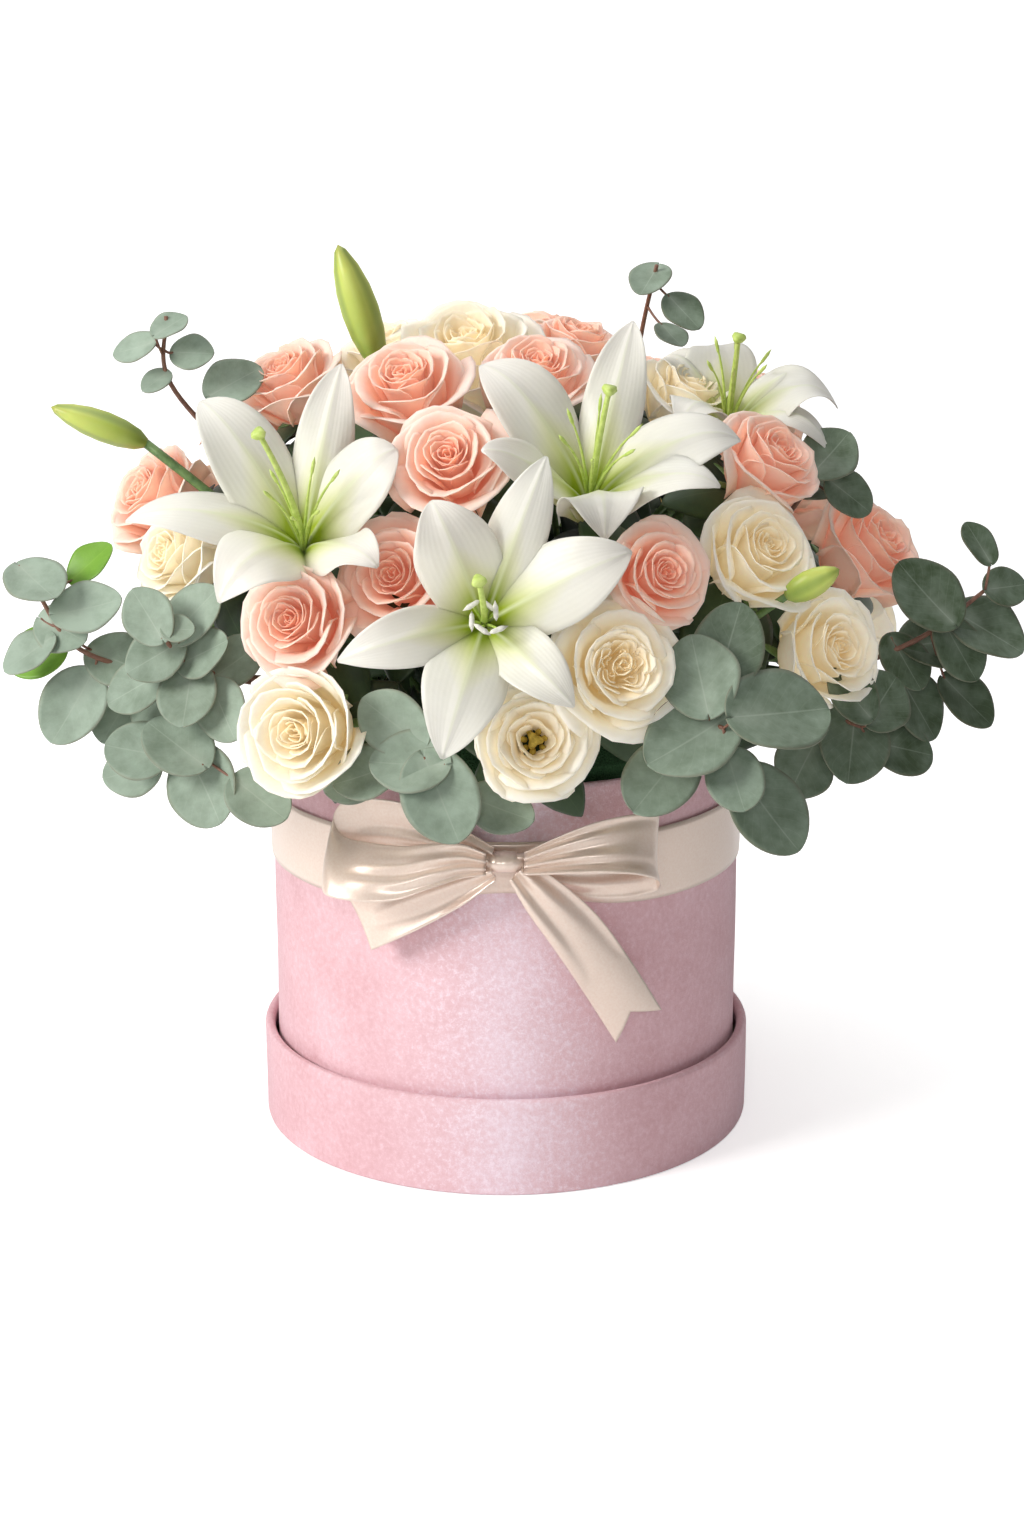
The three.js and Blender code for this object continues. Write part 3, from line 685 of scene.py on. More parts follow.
def make_knot():
    """The short piece of ribbon round the middle of the bow, drawn in pleats that run over it."""
    middle = np.array((KNOT_LOW + KNOT_HIGH) / 2)
    half = np.array((KNOT_HIGH - KNOT_LOW) / 2)
    rings, sides = 32, 28
    along = np.linspace(-1, 1, rings + 2)[1:-1]
    angle = around(sides)
    pinch = (1 - np.abs(along) ** 2.6) ** 0.5
    pleat = 1 + 0.035 * np.cos(along * 4.5 * math.pi + 0.5)[:, None] * (0.5 + 0.5 * np.sin(angle + 0.8))
    x = np.repeat((along * half[0])[:, None], sides, axis=1)
    y = pinch[:, None] * pleat * half[1] * np.cos(angle) * 0.95
    z = pinch[:, None] * pleat * half[2] * np.sin(angle) * 0.9
    points = np.stack([x, y, z], axis=-1).reshape(-1, 3) + middle
    piece = Piece("ribbon_knot")
    piece.add(points, [ring_quads(rings, sides), end_caps(rings, sides)], (0.5, 0.4, 0.0))
    piece.build("box", [LOOKS["satin"]], ["bow_knot"])


def make_band():
    """The flat band round the box, drawn in a little towards the knot."""
    low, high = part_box("ribbon_band")
    drawn_in, lifted, ruck_depth = 0.3, 5 * MM, 0.5 * MM  # what the knot does to the band at the front
    thick = 0.4 * MM
    columns = 15
    angle = np.linspace(0, 2 * math.pi, ROUND + 1)[:-1]
    front = np.exp(-((np.angle(np.exp(1j * (angle + math.pi / 2))) / 0.35) ** 2))
    s = np.linspace(-1, 1, columns)
    half = (high.z - low.z) / 2 * (1 - drawn_in * front)
    middle = (high.z + low.z) / 2 + lifted * front
    z = middle[:, None] + half[:, None] * s
    ruck = ruck_depth * front[:, None] * np.cos(5 * math.pi * s)
    edge = 0.25 * MM * np.abs(s) ** 8
    outer = BAND_FACE + ruck * 0.5 - edge + 0.12 * MM * np.sin(11 * angle)[:, None] * (1 - s**2)
    outside, inside = (
        np.stack([radius * np.cos(angle)[:, None], radius * np.sin(angle)[:, None], z], axis=-1)
        for radius in (outer, outer - thick)
    )
    loop = np.concatenate([outside, inside[:, ::-1]], axis=1)
    shade = ribbon_shade(angle / (2 * math.pi), np.abs(np.concatenate([s, s[::-1]])))
    piece = Piece("ribbon")
    piece.add(loop, [ring_quads(ROUND, 2 * columns, closed=True)], shade.reshape(-1, 3))
    band = piece.build("box", [LOOKS["satin"]], ["ribbon_band"])


def make_bow():
    make_band()
    make_knot()
    ribbon_strip("loop_left", -1, LOOP_LEFT, 3.0, "folded")
    ribbon_strip("loop_right", 1, LOOP_RIGHT, 3.0, "folded")
    ribbon_strip("tail_left", -1, TAIL_LEFT, 2.0, "hung")
    ribbon_strip("tail_right", 1, TAIL_RIGHT, 2.0, "hung", notch=0.085, crown=4 * MM)


# ---------- petals, leaves and stems
FOCUS = vec(0, 0, 170) * MM  # the middle of the dome of flowers
STEM_SPREAD = 90 * MM  # how far out the outermost stems stand in the foam
STEM_DEPTH = 38 * MM  # how deep they are pushed in
ROSE_STEM = 2.1 * MM
LILY_STEM = 2.8 * MM
SPRIG_STEM = 1.4 * MM
# The material slots of a rose's plant, of a lily's, where a bud has slot BUD too, and of a sprig's.
PETAL, STEM, GOLD, LEAF, BUD = range(5)
TEPAL, STYLE, ANTHER, STALK = range(4)
SILVER, TWIG, FRESH = range(3)


def foot_of(place):
    """Where a stem that reaches a place is pushed into the foam."""
    lean = math.atan2(math.hypot(place[0], place[1]), place[2] - FOCUS[2]) / (math.pi / 2)
    out = STEM_SPREAD * min(1, lean)
    angle = math.atan2(place[1], place[0])
    return vec(out * math.cos(angle), out * math.sin(angle), FOAM_TOP - STEM_DEPTH)


def stem_points(start):
    """A main stem's three control points, from a bloom's back through a bend over its entry to its foot."""
    foot = foot_of(start)
    entry = vec(foot[0], foot[1], FOAM_TOP)
    rise = 12 * MM + 0.25 * np.linalg.norm(start - entry)
    return [start, entry + vec(0, 0, rise), foot]


def petal(piece, rng, place, axes, size, angle, whorl, base=-0.40, spiral=0.08, tone=1.0):
    """One petal of a round bloom. A whorl is a lip radius, a lip height, a width in degrees, how far its
    lip is rolled back and how open it is; lengths are of the bloom's size."""
    lip, top, width, roll, opening = whorl
    rows, columns = 13, 13
    t = 1 - (1 - np.linspace(0, 1, rows)[:, None]) ** 1.3
    s = np.sin(np.linspace(-1, 1, columns) * math.pi / 2)[None, :]
    phase = rng.random(4) * 2 * math.pi
    # The outline: rounded shoulders, and a small point in the middle of the lip.
    shoulder = (0.05 + 0.06 * rng.random()) * np.abs(s) ** 3 + 0.38 * np.abs(s) ** 9
    point = 0.035 * (1 - np.exp(-((s / 0.22) ** 2)))
    reach = t * (1 - shoulder - point)
    neck = max(lip - 0.12, 0.55 * lip)
    midline = [(0.03, base), (lip * 0.72, base + 0.03), (neck, top - 0.13 + 0.05 * opening), (lip, top)]
    line = bezier(midline, reach)
    # The lip rolls back over its last quarter, and its edge waves.
    edge = np.clip((t - 0.76) / 0.24, 0, 1)
    corner = 0.4 + 1.0 * s**2 + 0.3 * np.sin(2.5 * s + phase[2])
    radius = line[..., 0] * (1 + spiral * s) + roll * edge**2 * corner
    height = line[..., 1] - 0.45 * roll * edge**3 * corner
    radius = radius + 0.013 * t**4 * np.sin(1.5 * math.pi * s + phase[0])
    height = height + 0.022 * t**4 * np.sin(1.7 * math.pi * s + phase[1])
    turn = angle + s * math.radians(width) / 2
    local = size * np.stack([radius * np.cos(turn), radius * np.sin(turn), height], axis=-1)
    thick = (0.7 - 0.3 * t) * MM * np.ones_like(s)
    shade = np.stack([reach, np.full_like(reach, tone), np.full_like(reach, rng.random())], axis=-1)
    piece.add_shell(place + local @ axes.T, thick, shade, PETAL)


# The whorls of a rose from its heart out: its petals, and then the numbers that petal takes.
ROSE = [
    (3, 0.036, 0.240, 250, 0.000, 0.00),
    (3, 0.078, 0.255, 220, 0.002, 0.00),
    (4, 0.128, 0.270, 195, 0.005, 0.00),
    (4, 0.190, 0.282, 176, 0.012, 0.05),
    (4, 0.270, 0.280, 158, 0.028, 0.25),
    (4, 0.370, 0.235, 146, 0.055, 0.60),
    (5, 0.485, 0.125, 130, 0.090, 1.00),
]
LISIANTHUS = [
    (4, 0.150, 0.130, 135, 0.015, 0.30),
    (5, 0.220, 0.160, 130, 0.030, 0.50),
    (5, 0.300, 0.165, 130, 0.040, 0.60),
    (5, 0.385, 0.135, 130, 0.055, 0.80),
    (6, 0.470, 0.050, 120, 0.070, 1.00),
]


def whorls(piece, rng, place, axes, size, rows, openness=1.0):
    """Rings of petals. openness below 1 closes the outer ones up."""
    for count, lip, top, width, roll, opening in rows:
        start = rng.random() * 2 * math.pi
        rise = 0.12 * (1 - openness) * opening
        tone = min(1.0, lip / 0.42)
        spiral = 0.085 + 0.16 * (1 - tone) ** 3
        for i in range(count):
            angle = start + (i + 0.25 * (rng.random() - 0.5)) * 2 * math.pi / count
            row = (
                lip * (1 + 0.05 * (rng.random() - 0.5)),
                top + rise + 0.02 * (rng.random() - 0.5),
                width * (1 + 0.1 * (rng.random() - 0.5)),
                roll * (0.6 + 0.8 * rng.random()) * openness,
                opening * openness,
            )
            petal(piece, rng, place, axes, size, angle, row, spiral=spiral, tone=tone)


def rose(piece, rng, place, facing, size, openness=1.0):
    """A full rose: a wrapped heart, then wider petals that roll back at the lip."""
    whorls(piece, rng, place, basis(facing), size, ROSE, openness)


def garden_rose(piece, rng, place, facing, size):
    """A rose of wide outer petals round a heart of five small swirls."""
    axes = basis(facing)
    whorls(piece, rng, place, axes, size, ROSE[:2] + ROSE[4:])
    swirls, layers = 5, 4
    for swirl in range(swirls):
        turn = (swirl + 0.3 * rng.random()) * 2 * math.pi / swirls
        centre = place + spoke(axes, turn) * 0.08 * size
        for layer in range(layers):
            row = (0.03 + 0.04 * layer, 0.20 + 0.02 * layer + 0.02 * rng.random(), 150, 0.012, 0.1)
            angle = turn + 0.35 * (rng.random() - 0.5)
            tone = 0.15 + 0.14 * layer
            petal(piece, rng, centre, axes, size, angle, row, base=-0.12, spiral=0.16, tone=tone)


def lisianthus(piece, rng, place, facing, size):
    """An open double lisianthus: soft petals round a dark well of painted shade, with a golden stigma and
    stamens in it.
    """
    axes = basis(facing)
    whorls(piece, rng, place, axes, size, LISIANTHUS)
    # painted shade: a dark cup deep in the flower, where the shade falls between its petals
    painted_shade_well = [(0, -0.3), (0.10, -0.26), (0.125, -0.1), (0.115, -0.08), (0.08, -0.13), (0, -0.15)]
    piece.add_plain(blob(place, facing, scaled(painted_shade_well, size, size), 20), LEAF)
    stigma = [(0, -0.14), (0.022, -0.10), (0.03, 0.0), (0.062, 0.045), (0.05, 0.075), (0, 0.08)]
    piece.add_plain(blob(place, facing, scaled(stigma, size, size), 18, 0.3), GOLD)
    stamens = 7
    length = 2.4 * MM
    anther = [(0, -length), (1.2 * MM, -length / 2), (1.3 * MM, length / 3), (0, length)]
    for i in range(stamens):
        angle = (i + 0.3 * rng.random()) * 2 * math.pi / stamens
        out = size * (0.075 + 0.02 * rng.random())
        tip = place + axes @ vec(out * math.cos(angle), out * math.sin(angle), -0.01 * size)
        leaning = axes @ unit(vec(math.cos(angle), math.sin(angle), 0.9))
        piece.add_plain(blob(tip, leaning, anther, 8), GOLD)


def bent_blade(
    controls, side, half_width, rows, columns, cup=0.0, groove=0.0, wave=0.0, phase=0.0, droop=None,
):
    """A long petal or leaf along a Bezier from its root to its tip: its surface, and its shades so far.
    cup is how far its sides rise, of the half width, at the root and at the tip."""
    t = np.linspace(0, 1, rows)
    centre = bezier(controls, t)
    if droop is not None:
        centre = centre + droop * (np.clip((t - 0.7) / 0.3, 0, 1) ** 2)[:, None]
    tangent = unit(np.gradient(centre, axis=0))
    side = unit(side - tangent * (tangent @ side)[:, None])
    normal = unit(np.cross(side, tangent))
    s = np.linspace(-1, 1, columns)
    t = t[:, None]
    half = half_width(t)
    root_cup, tip_cup = np.broadcast_to(cup, 2)
    lift = (root_cup * (1 - t) + tip_cup * t) * half * s**2
    lift = lift - groove * np.exp(-((s / 0.14) ** 2)) * (1 - t) ** 0.4
    lift = lift + wave * np.sin(7.0 * t + phase + (s > 0) * 1.3) * np.abs(s) ** 2.5 * np.sin(math.pi * t)
    surface = centre[:, None] + side[:, None] * (half * s)[..., None] + normal[:, None] * lift[..., None]
    along = np.broadcast_to(t, surface.shape[:2])
    across = np.broadcast_to(np.abs(s), surface.shape[:2])
    return surface, np.stack([along, across], axis=-1)


def add_blade(piece, surface, shade, thick, tone, slot):
    """A petal or leaf from its surface, its shades so far and a tone of its own."""
    full = np.concatenate([shade, np.full((*shade.shape[:2], 1), tone)], axis=-1)
    piece.add_shell(surface, thick, full, slot)


def tepal_width(t):
    """Of the widest: a narrow claw, fullest past the middle, and a blunt point."""
    fullest = 0.56
    claw = 1 - ((fullest - t) / 0.64) ** 2
    point = 1 - (np.maximum(t - fullest, 0) / (1 - fullest)) ** 1.8
    return np.where(t < fullest, np.maximum(claw, 0) ** 0.85, np.maximum(point, 0) ** 0.85)


def lily(piece, rng, throat, facing, tips, size):
    """Six tepals that arch from the throat to their tips, three broad ones and three narrower ones in turn.
    Gives the place where its stem starts."""
    axis = unit(facing)
    base = throat - axis * 0.15 * size
    rows, columns = 28, 17
    thick = np.linspace(1.4, 0.5, rows)[:, None] * MM * (1 - 0.5 * np.abs(np.linspace(-1, 1, columns)) ** 2)
    for i, tip in enumerate(tips):
        out = unit((tip - throat) - axis * ((tip - throat) @ axis))
        widest, arch, tip_cup = (0.140, 0.20, -0.22) if i % 2 == 0 else (0.100, 0.15, -0.1)
        length = np.linalg.norm(tip - throat)
        controls = [
            base + out * 0.012 * size, throat + out * 0.05 * size + axis * 0.02 * size,
            throat + out * 0.6 * length + axis * arch * size, tip,
        ]
        surface, shade = bent_blade(
            controls, np.cross(axis, out), lambda t: np.maximum(size * widest * tepal_width(t), 0.7 * MM),
            rows, columns, cup=(0.5, tip_cup), groove=1.3 * MM, wave=3.2 * MM * (0.5 + 0.8 * rng.random()),
            phase=WHOLE_TURN * rng.random(), droop=-0.05 * size * axis,
        )
        add_blade(piece, surface, shade, thick, rng.random(), TEPAL)
    return throat - axis * 0.27 * size


def lily_heart(piece, rng, throat, facing, stigma, size, anthers):
    """The green style with its three-lobed stigma, and six filaments round it, with pale anthers or bare."""
    axis = unit(facing)
    base = throat - axis * 0.14 * size
    path = bezier([base, throat + axis * 0.14 * size, stigma], np.linspace(0, 1, 14))
    piece.add_plain(rod(path, np.linspace(1.7, 1.1, 14) * MM), STYLE)
    knob = [(0, -2.2), (2.0, -1.2), (3.1, 0.6), (2.6, 2.0), (0, 2.4)]
    piece.add_plain(blob(path[-1], unit(path[-1] - path[-2]), scaled(knob, MM, MM), 15, 0.16), STYLE)
    if anthers:
        spread, rise, slot = 0.055, 0.06, ANTHER
        rice = [(0, -4.4), (1.0, -2.5), (1.2, 1.5), (0, 4.4)]
    else:
        spread, rise, slot = 0.16, 0.2, STYLE
        rice = [(0, -5), (0.75, -2), (0.8, 2), (0, 5)]
    axes = basis(axis)
    for i in range(6):
        angle = i * math.pi / 3 + 0.5 * rng.random()
        out = spoke(axes, angle)
        reach = size * (spread + 0.05 * rng.random())
        forward = size * (rise + 0.05 * rng.random())
        tip = throat + axis * forward + out * reach * 0.62
        path = bezier([base, throat + axis * forward * 0.5 + out * 0.03 * size, tip], np.linspace(0, 1, 9))
        piece.add_plain(rod(path, np.linspace(0.85, 0.4, 9) * MM, 6), STYLE)
        along = np.cross(axis, out) + 0.4 * out if anthers else unit(path[-1] - path[-3])
        piece.add_plain(blob(tip, along, scaled(rice, MM, MM), 8), slot)


def bud(piece, place, facing, length, width):
    """A long pointed bud with three seams."""
    profile = [
        (0, -0.5), (0.16, -0.47), (0.34, -0.38), (0.46, -0.22), (0.5, -0.04), (0.46, 0.14), (0.34, 0.31),
        (0.16, 0.45), (0, 0.5),
    ]
    sides = 30
    points, faces = blob(place, facing, scaled(profile, width, length), sides, 0.09)
    height = (points - place) @ unit(facing) / length + 0.5
    seam = np.tile((1 - np.cos(3 * np.arange(sides) * 2 * math.pi / sides)) / 2, len(profile) - 2)
    seam = np.concatenate([seam, [0.5, 0.5]])
    piece.add(points, faces, np.stack([height, seam, 0 * height], 1), BUD)


def rose_leaf(piece, rng, root, out, normal, length):
    """A pointed leaf with a fold down its middle and fine teeth, whose face is turned to normal."""
    tip = root + out * length - normal * 0.1 * length
    guide = root + out * 0.5 * length + normal * 0.12 * length
    wide = length * 0.31

    def half_width(t):
        teeth = 1 + 0.04 * np.abs(np.sin(15 * t))
        return np.maximum(wide * np.sin(math.pi * t**0.8) ** 0.75 * teeth, 0.4 * MM)

    surface, shade = bent_blade(
        [root, guide, tip], np.cross(normal, out), half_width, 16, 9, cup=0.2, wave=1.4 * MM,
        phase=6 * rng.random(),
    )
    add_blade(piece, surface, shade, 0.45 * MM, rng.random(), LEAF)


def leaf_ruff(piece, rng, place, facing, size):
    """Five leaves that stand round a bloom just below it and close the gaps between it and the next, dark
    partly with painted shade.
    """
    axes = basis(facing)
    turn = rng.random() * 2 * math.pi
    shortest = 0.5 if place[2] < COLLAR_TOP else 0.72
    for i in range(5):
        angle = turn + (i + 0.4 * rng.random()) * 2 * math.pi / 5
        out = axes @ unit(vec(math.cos(angle), math.sin(angle), -0.1 - 0.25 * rng.random()))
        root = place - unit(facing) * size * (0.34 + 0.14 * rng.random()) + out * 0.08 * size
        rose_leaf(piece, rng, root, out, unit(facing + 0.3 * out), (shortest + 0.2 * rng.random()) * size)


def calyx(piece, rng, place, facing, size):
    """The green cup under a rose, with five narrow sepals turned back."""
    axes = basis(facing)
    base = place - unit(facing) * 0.40 * size
    cup = [(0, -0.1), (0.05, -0.09), (0.085, -0.04), (0.08, 0.02), (0.04, 0.05), (0, 0.06)]
    piece.add_plain(blob(base, facing, scaled(cup, size, size), 12), STEM)

    def half_width(t):
        return np.maximum(0.055 * size * (1 - t) ** 0.7 * (0.6 + t), 0.25 * MM)

    for i in range(5):
        angle = (i + 0.3 * rng.random()) * 2 * math.pi / 5
        out = spoke(axes, angle)
        root = base + out * 0.05 * size
        tip = base + out * 0.36 * size + unit(facing) * size * (0.05 - 0.12 * rng.random())
        guide = base + out * 0.24 * size + unit(facing) * size * 0.02
        across = np.cross(unit(facing), out)
        surface, shade = bent_blade([root, guide, tip], across, half_width, 9, 5, cup=0.2)
        add_blade(piece, surface, shade, 0.5 * MM, 0.5, STEM)


def round_leaf(piece, rng, place, facing, towards, size, tone, slot):
    """A silver-dollar leaf: round, cupped and creased, its stalk end towards the stem. Gives that end."""
    facing = unit(facing)
    spine = unit((place - towards) - facing * ((place - towards) @ facing))
    side = np.cross(spine, facing)
    rows, columns = 23, 15
    turn = np.linspace(0, math.pi, rows)[:, None]
    t = (1 - np.cos(turn)) / 2
    s = np.linspace(-1, 1, columns)[None, :]
    narrow = 0.86 + 0.16 * rng.random()
    half = np.maximum(np.sin(turn), 0.02) * (1 + 0.06 * (1 - 2 * t)) * narrow
    half = half * (1 + 0.03 * np.sin(3 * turn + 6 * rng.random()))
    x = half * s / 2
    y = t - 0.5 + 0.05 * t**8 - 0.09 * np.abs(s) * np.maximum(0, 1 - 3.5 * t)
    bowl = 0.12 + 0.25 * rng.random()
    lift = bowl * x**2 + (0.22 * rng.random() - 0.05) * y**2 + 0.05 * np.abs(x)
    lift = lift + 0.014 * np.sin(2.6 * math.pi * t + 6 * rng.random()) * s
    surface = place + size * (x[..., None] * side + y[..., None] * spine + lift[..., None] * facing)
    shade = np.stack([t * np.ones_like(s), np.abs(s) * np.ones_like(t)], axis=-1)
    add_blade(piece, surface, shade, 0.5 * MM, tone, slot)
    return surface[0, columns // 2]


# ---------- the plants, in mm
# Each stem's blooms, by colour. A bloom is (kind, x, y, z, facing azimuth, facing elevation, size).
BLOOMS = {
    "peach": {
        "rose_1": [("rose", -22, -118, 329, -10, 35, 48)],
        "rose_2": [("rose", -85, -134, 266, -25, 20, 48)],
        "rose_3": [("rose", -44, -124, 282, -15, 25, 50)],
        "rose_4": [("rose", -41, -78, 354, -20, 55, 52)],
        "rose_5": [("rose", 63, -134, 286, 25, 20, 42)],
        "rose_6": [("rose", 113, -68, 322, 50, 45, 48)],
        "rose_7": [("rose", 163, -28, 276, 55, 40, 55)],
        "rose_8": [("rose", -158, -12, 296, -60, 35, 52)],
        "rose_9": [("rose", -96, -18, 350, -50, 55, 46)],
        "rose_10": [("rose", 14, -55, 357, 10, 60, 46)],
        "rose_11": [("rose", 32, 10, 362, 60, 75, 44)],
        "spray_back_right": [
            ("rose", 72, 91, 332, 140, 50, 46), ("rose", 118, 38, 332, 110, 45, 46),
            ("rose", 138, 80, 284, 122, 30, 48), ("rose", 18, 68, 358, 165, 65, 44),
        ],
        "spray_back_left": [
            ("rose", -92, 120, 284, 215, 30, 50), ("rose", -76, 146, 232, 205, 15, 46),
            ("rose", -122, 30, 330, 255, 45, 46),
        ],
        "spray_left": [("rose", -150, 48, 278, 250, 30, 48), ("rose", -166, 58, 228, 250, 10, 46)],
    },
    "cream": {
        "rose_1": [("cupped", -82, -144, 222, -25, 10, 54)],
        "lisianthus": [("lisianthus", 12, -160, 222, 5, 20, 50)],
        "rose_2": [("garden", 45, -150, 250, 15, 20, 55)],
        "rose_3": [("rose", 106, -104, 288, 35, 35, 53)],
        "rose_4": [("cupped", 136, -100, 246, 40, 20, 51), ("bud", 128, -122, 280, 75, 30, 26)],
        "rose_5": [("rose", -142, -66, 280, -50, 25, 46)],
        "rose_6": [("rose", -17, -18, 358, -10, 66, 72)],
        "rose_7": [("rose", -52, 2, 359, -60, 68, 48)],
        "rose_8": [("rose", 80, -16, 343, 55, 60, 46)],
        "spray_back_right": [
            ("rose", 92, 122, 282, 145, 30, 50), ("cupped", 170, 48, 232, 105, 15, 46),
            ("rose", 74, 150, 230, 155, 15, 48),
        ],
        "spray_back_left": [("rose", -138, 92, 262, 235, 25, 46), ("garden", -74, 84, 330, 220, 50, 48)],
        "spray_back_top": [("rose", 2, 112, 332, 180, 50, 48), ("rose", -34, 48, 358, 215, 70, 46)],
    },
}
# A lily is its throat, facing, size, stigma, tips in turn round it, and where it has them its pale anthers
# and the buds on its stem.
LILIES = {
    "lily_1": {
        "throat": (-84, -120, 302), "facing": (2, 44), "size": 124, "stigma": (-98, -150, 346),
        "tips": [
            (-44, -125, 340), (-68, -100, 372), (-127, -105, 357), (-157, -125, 310), (-116, -155, 282),
            (-51, -158, 297),
        ],
        "buds": [(-64, -38, 386, -90, 72, 56), (-180, -32, 333, -85, 22, 46)],
    },
    "lily_2": {
        "throat": (-8, -156, 272), "facing": (2, 20), "size": 124, "stigma": (-10, -180, 292),
        "anthers": True,
        "tips": [
            (51, -168, 303), (17, -160, 340), (-29, -165, 323), (-67, -172, 259), (-25, -182, 221),
            (28, -184, 243),
        ],
    },
    "lily_3": {
        "throat": (36, -120, 322), "facing": (5, 52), "size": 128, "stigma": (42, -140, 362),
        "tips": [
            (98, -115, 343), (54, -95, 390), (-10, -100, 372), (-9, -150, 344), (41, -152, 308),
            (88, -142, 328),
        ],
    },
    "lily_4": {
        "throat": (100, -24, 338), "facing": (10, 66), "size": 120, "stigma": (102, -40, 372),
        "tips": [
            (149, -24, 345), (138, -10, 356), (93, 8, 366), (71, -4, 364), (76, -62, 342), (144, -44, 328),
        ],
    },
    "lily_back": {
        "throat": (0, 150, 276), "facing": (180, 30), "size": 120, "stigma": (4, 178, 310),
        "tips": [
            (-58, 158, 292), (-30, 146, 326), (28, 146, 328), (57, 160, 288), (30, 180, 238),
            (-28, 182, 236),
        ],
        "buds": [(44, 146, 290, 165, 30, 50)],
    },
}


def collar_sprig(azimuth):
    """The low collar sprigs at the back are alike. Each place in one is a turn, a reach and a height."""
    def out(turn, reach, z):
        d = direction(azimuth + turn, 0)
        return (reach * d[0], reach * d[1], z)

    places = [
        (-13, 168, 222), (0, 174, 238), (13, 168, 220), (-9, 176, 196), (8, 178, 194), (0, 182, 214),
        (-18, 164, 250),
    ]
    return {
        "path": [out(0, 174, 224), out(0, 140, 224), out(0, 108, 220)],
        "leaves": [(*out(*place), 36 - 2 * (i % 4)) for i, place in enumerate(places)],
    }


# A sprig is its path from the tip in, and its leaves, each (x, y, z, size), some of them young and fresh.
SPRIGS = {
    "left_far": {
        "path": [(-205, -80, 272), (-186, -84, 244), (-150, -74, 230), (-108, -50, 222)],
        "leaves": [
            (-202, -85, 273, 28), (-180, -88, 262, 28), (-206, -88, 242, 24), (-188, -88, 218, 33),
            (-168, -82, 237, 28), (-192, -84, 252, 24), (-170, -78, 212, 26),
        ],
        "fresh": [(-206, -72, 238, 26), (-181, -68, 278, 22)],
    },
    "left_upper": {
        "path": [(-148, -106, 258), (-134, -102, 240), (-100, -74, 224)],
        "leaves": [
            (-151, -108, 263, 25), (-149, -107, 245, 25), (-128, -108, 247, 25), (-135, -112, 229, 27),
            (-120, -114, 223, 28), (-158, -100, 230, 28), (-138, -112, 258, 13), (-133, -100, 262, 28),
            (-116, -95, 240, 27),
        ],
    },
    "left_lower": {
        "path": [(-138, -116, 204), (-122, -100, 214), (-96, -72, 216)],
        "leaves": [
            (-158, -106, 203, 27), (-140, -114, 208, 31), (-128, -118, 190, 34), (-104, -128, 188, 27),
            (-162, -98, 192, 25), (-152, -88, 219, 26),
        ],
    },
    "front_left": {
        "path": [(-30, -162, 208), (-32, -140, 216), (-30, -108, 216)],
        "leaves": [
            (-26, -168, 200, 37), (-39, -160, 212, 30), (-46, -150, 227, 30), (-2, -160, 193, 27),
            (-57, -150, 205, 27), (-64, -134, 199, 24),
        ],
    },
    "front_right": {
        "path": [(89, -162, 228), (76, -132, 226), (62, -96, 218)],
        "leaves": [
            (76, -162, 223, 39), (112, -158, 233, 42), (80, -152, 247, 33), (108, -160, 192, 38),
            (94, -168, 207, 26), (64, -154, 204, 36), (92, -144, 258, 34),
        ],
    },
    "right": {
        "path": [(212, -58, 264), (186, -66, 246), (150, -66, 230), (110, -54, 220)],
        "leaves": [
            (185, -64, 263, 34), (213, -60, 246, 34), (208, -58, 285, 20), (182, -68, 214, 32),
            (205, -64, 215, 28), (200, -68, 239, 28), (222, -52, 264, 22), (190, -58, 240, 30),
            (176, -70, 234, 26),
        ],
    },
    "right_lower": {
        "path": [(154, -98, 212), (128, -84, 218), (104, -68, 216)],
        "leaves": [
            (150, -99, 205, 34), (128, -106, 196, 28), (163, -92, 222, 28), (148, -104, 228, 26),
            (174, -82, 198, 30),
        ],
    },
    "right_upper": {
        "path": [(143, -42, 322), (128, -42, 298), (98, -34, 256)],
        "leaves": [(143, -45, 322, 27), (152, -46, 304, 22), (132, -40, 308, 24)],
    },
    "top_left": {
        "path": [(-148, -40, 382), (-148, -38, 354), (-122, -30, 318), (-84, -22, 262)],
        "leaves": [
            (-146, -43, 378, 16), (-162, -40, 368, 19), (-137, -40, 366, 18), (-153, -43, 354, 14),
            (-120, -30, 352, 26),
        ],
    },
    "top_right": {
        "path": [(67, -18, 402), (62, 8, 370), (56, 32, 320), (36, 26, 262)],
        "leaves": [(64, -20, 396, 20), (79, -22, 382, 20), (74, -16, 371, 16)],
    },
    "back_right": collar_sprig(132),
    "back": collar_sprig(180),
    "back_left": collar_sprig(228),
}
COLLAR_TOP = 236 * MM  # blooms below this lie on the rim, so their leaves are short
BLOOM_BACK = {"rose": 0.4, "cupped": 0.4, "garden": 0.4, "lisianthus": 0.34, "bud": 0.46}


def add_stem(piece, points, radius, slot):
    path = bezier(points, np.linspace(0, 1, 18))
    piece.add_plain(rod(path, radius), slot)


def branch_to(main, start, facing, size):
    """A side stem's three control points, from a bloom's back to a joint halfway down the main stem."""
    joint = bezier(main, 0.55)
    bend = (joint + start) / 2 - 0.3 * size * facing
    return [start, bend, joint]


def add_bloom(piece, rng, kind, place, facing, size):
    if kind == "bud":
        bud(piece, place, facing, size, 0.46 * size)
        return
    if kind == "garden":
        garden_rose(piece, rng, place, facing, size)
    elif kind == "lisianthus":
        lisianthus(piece, rng, place, facing, size)
    else:
        rose(piece, rng, place, facing, size, openness=0.5 if kind == "cupped" else 1.0)
    calyx(piece, rng, place, facing, size)
    leaf_ruff(piece, rng, place, facing, size)


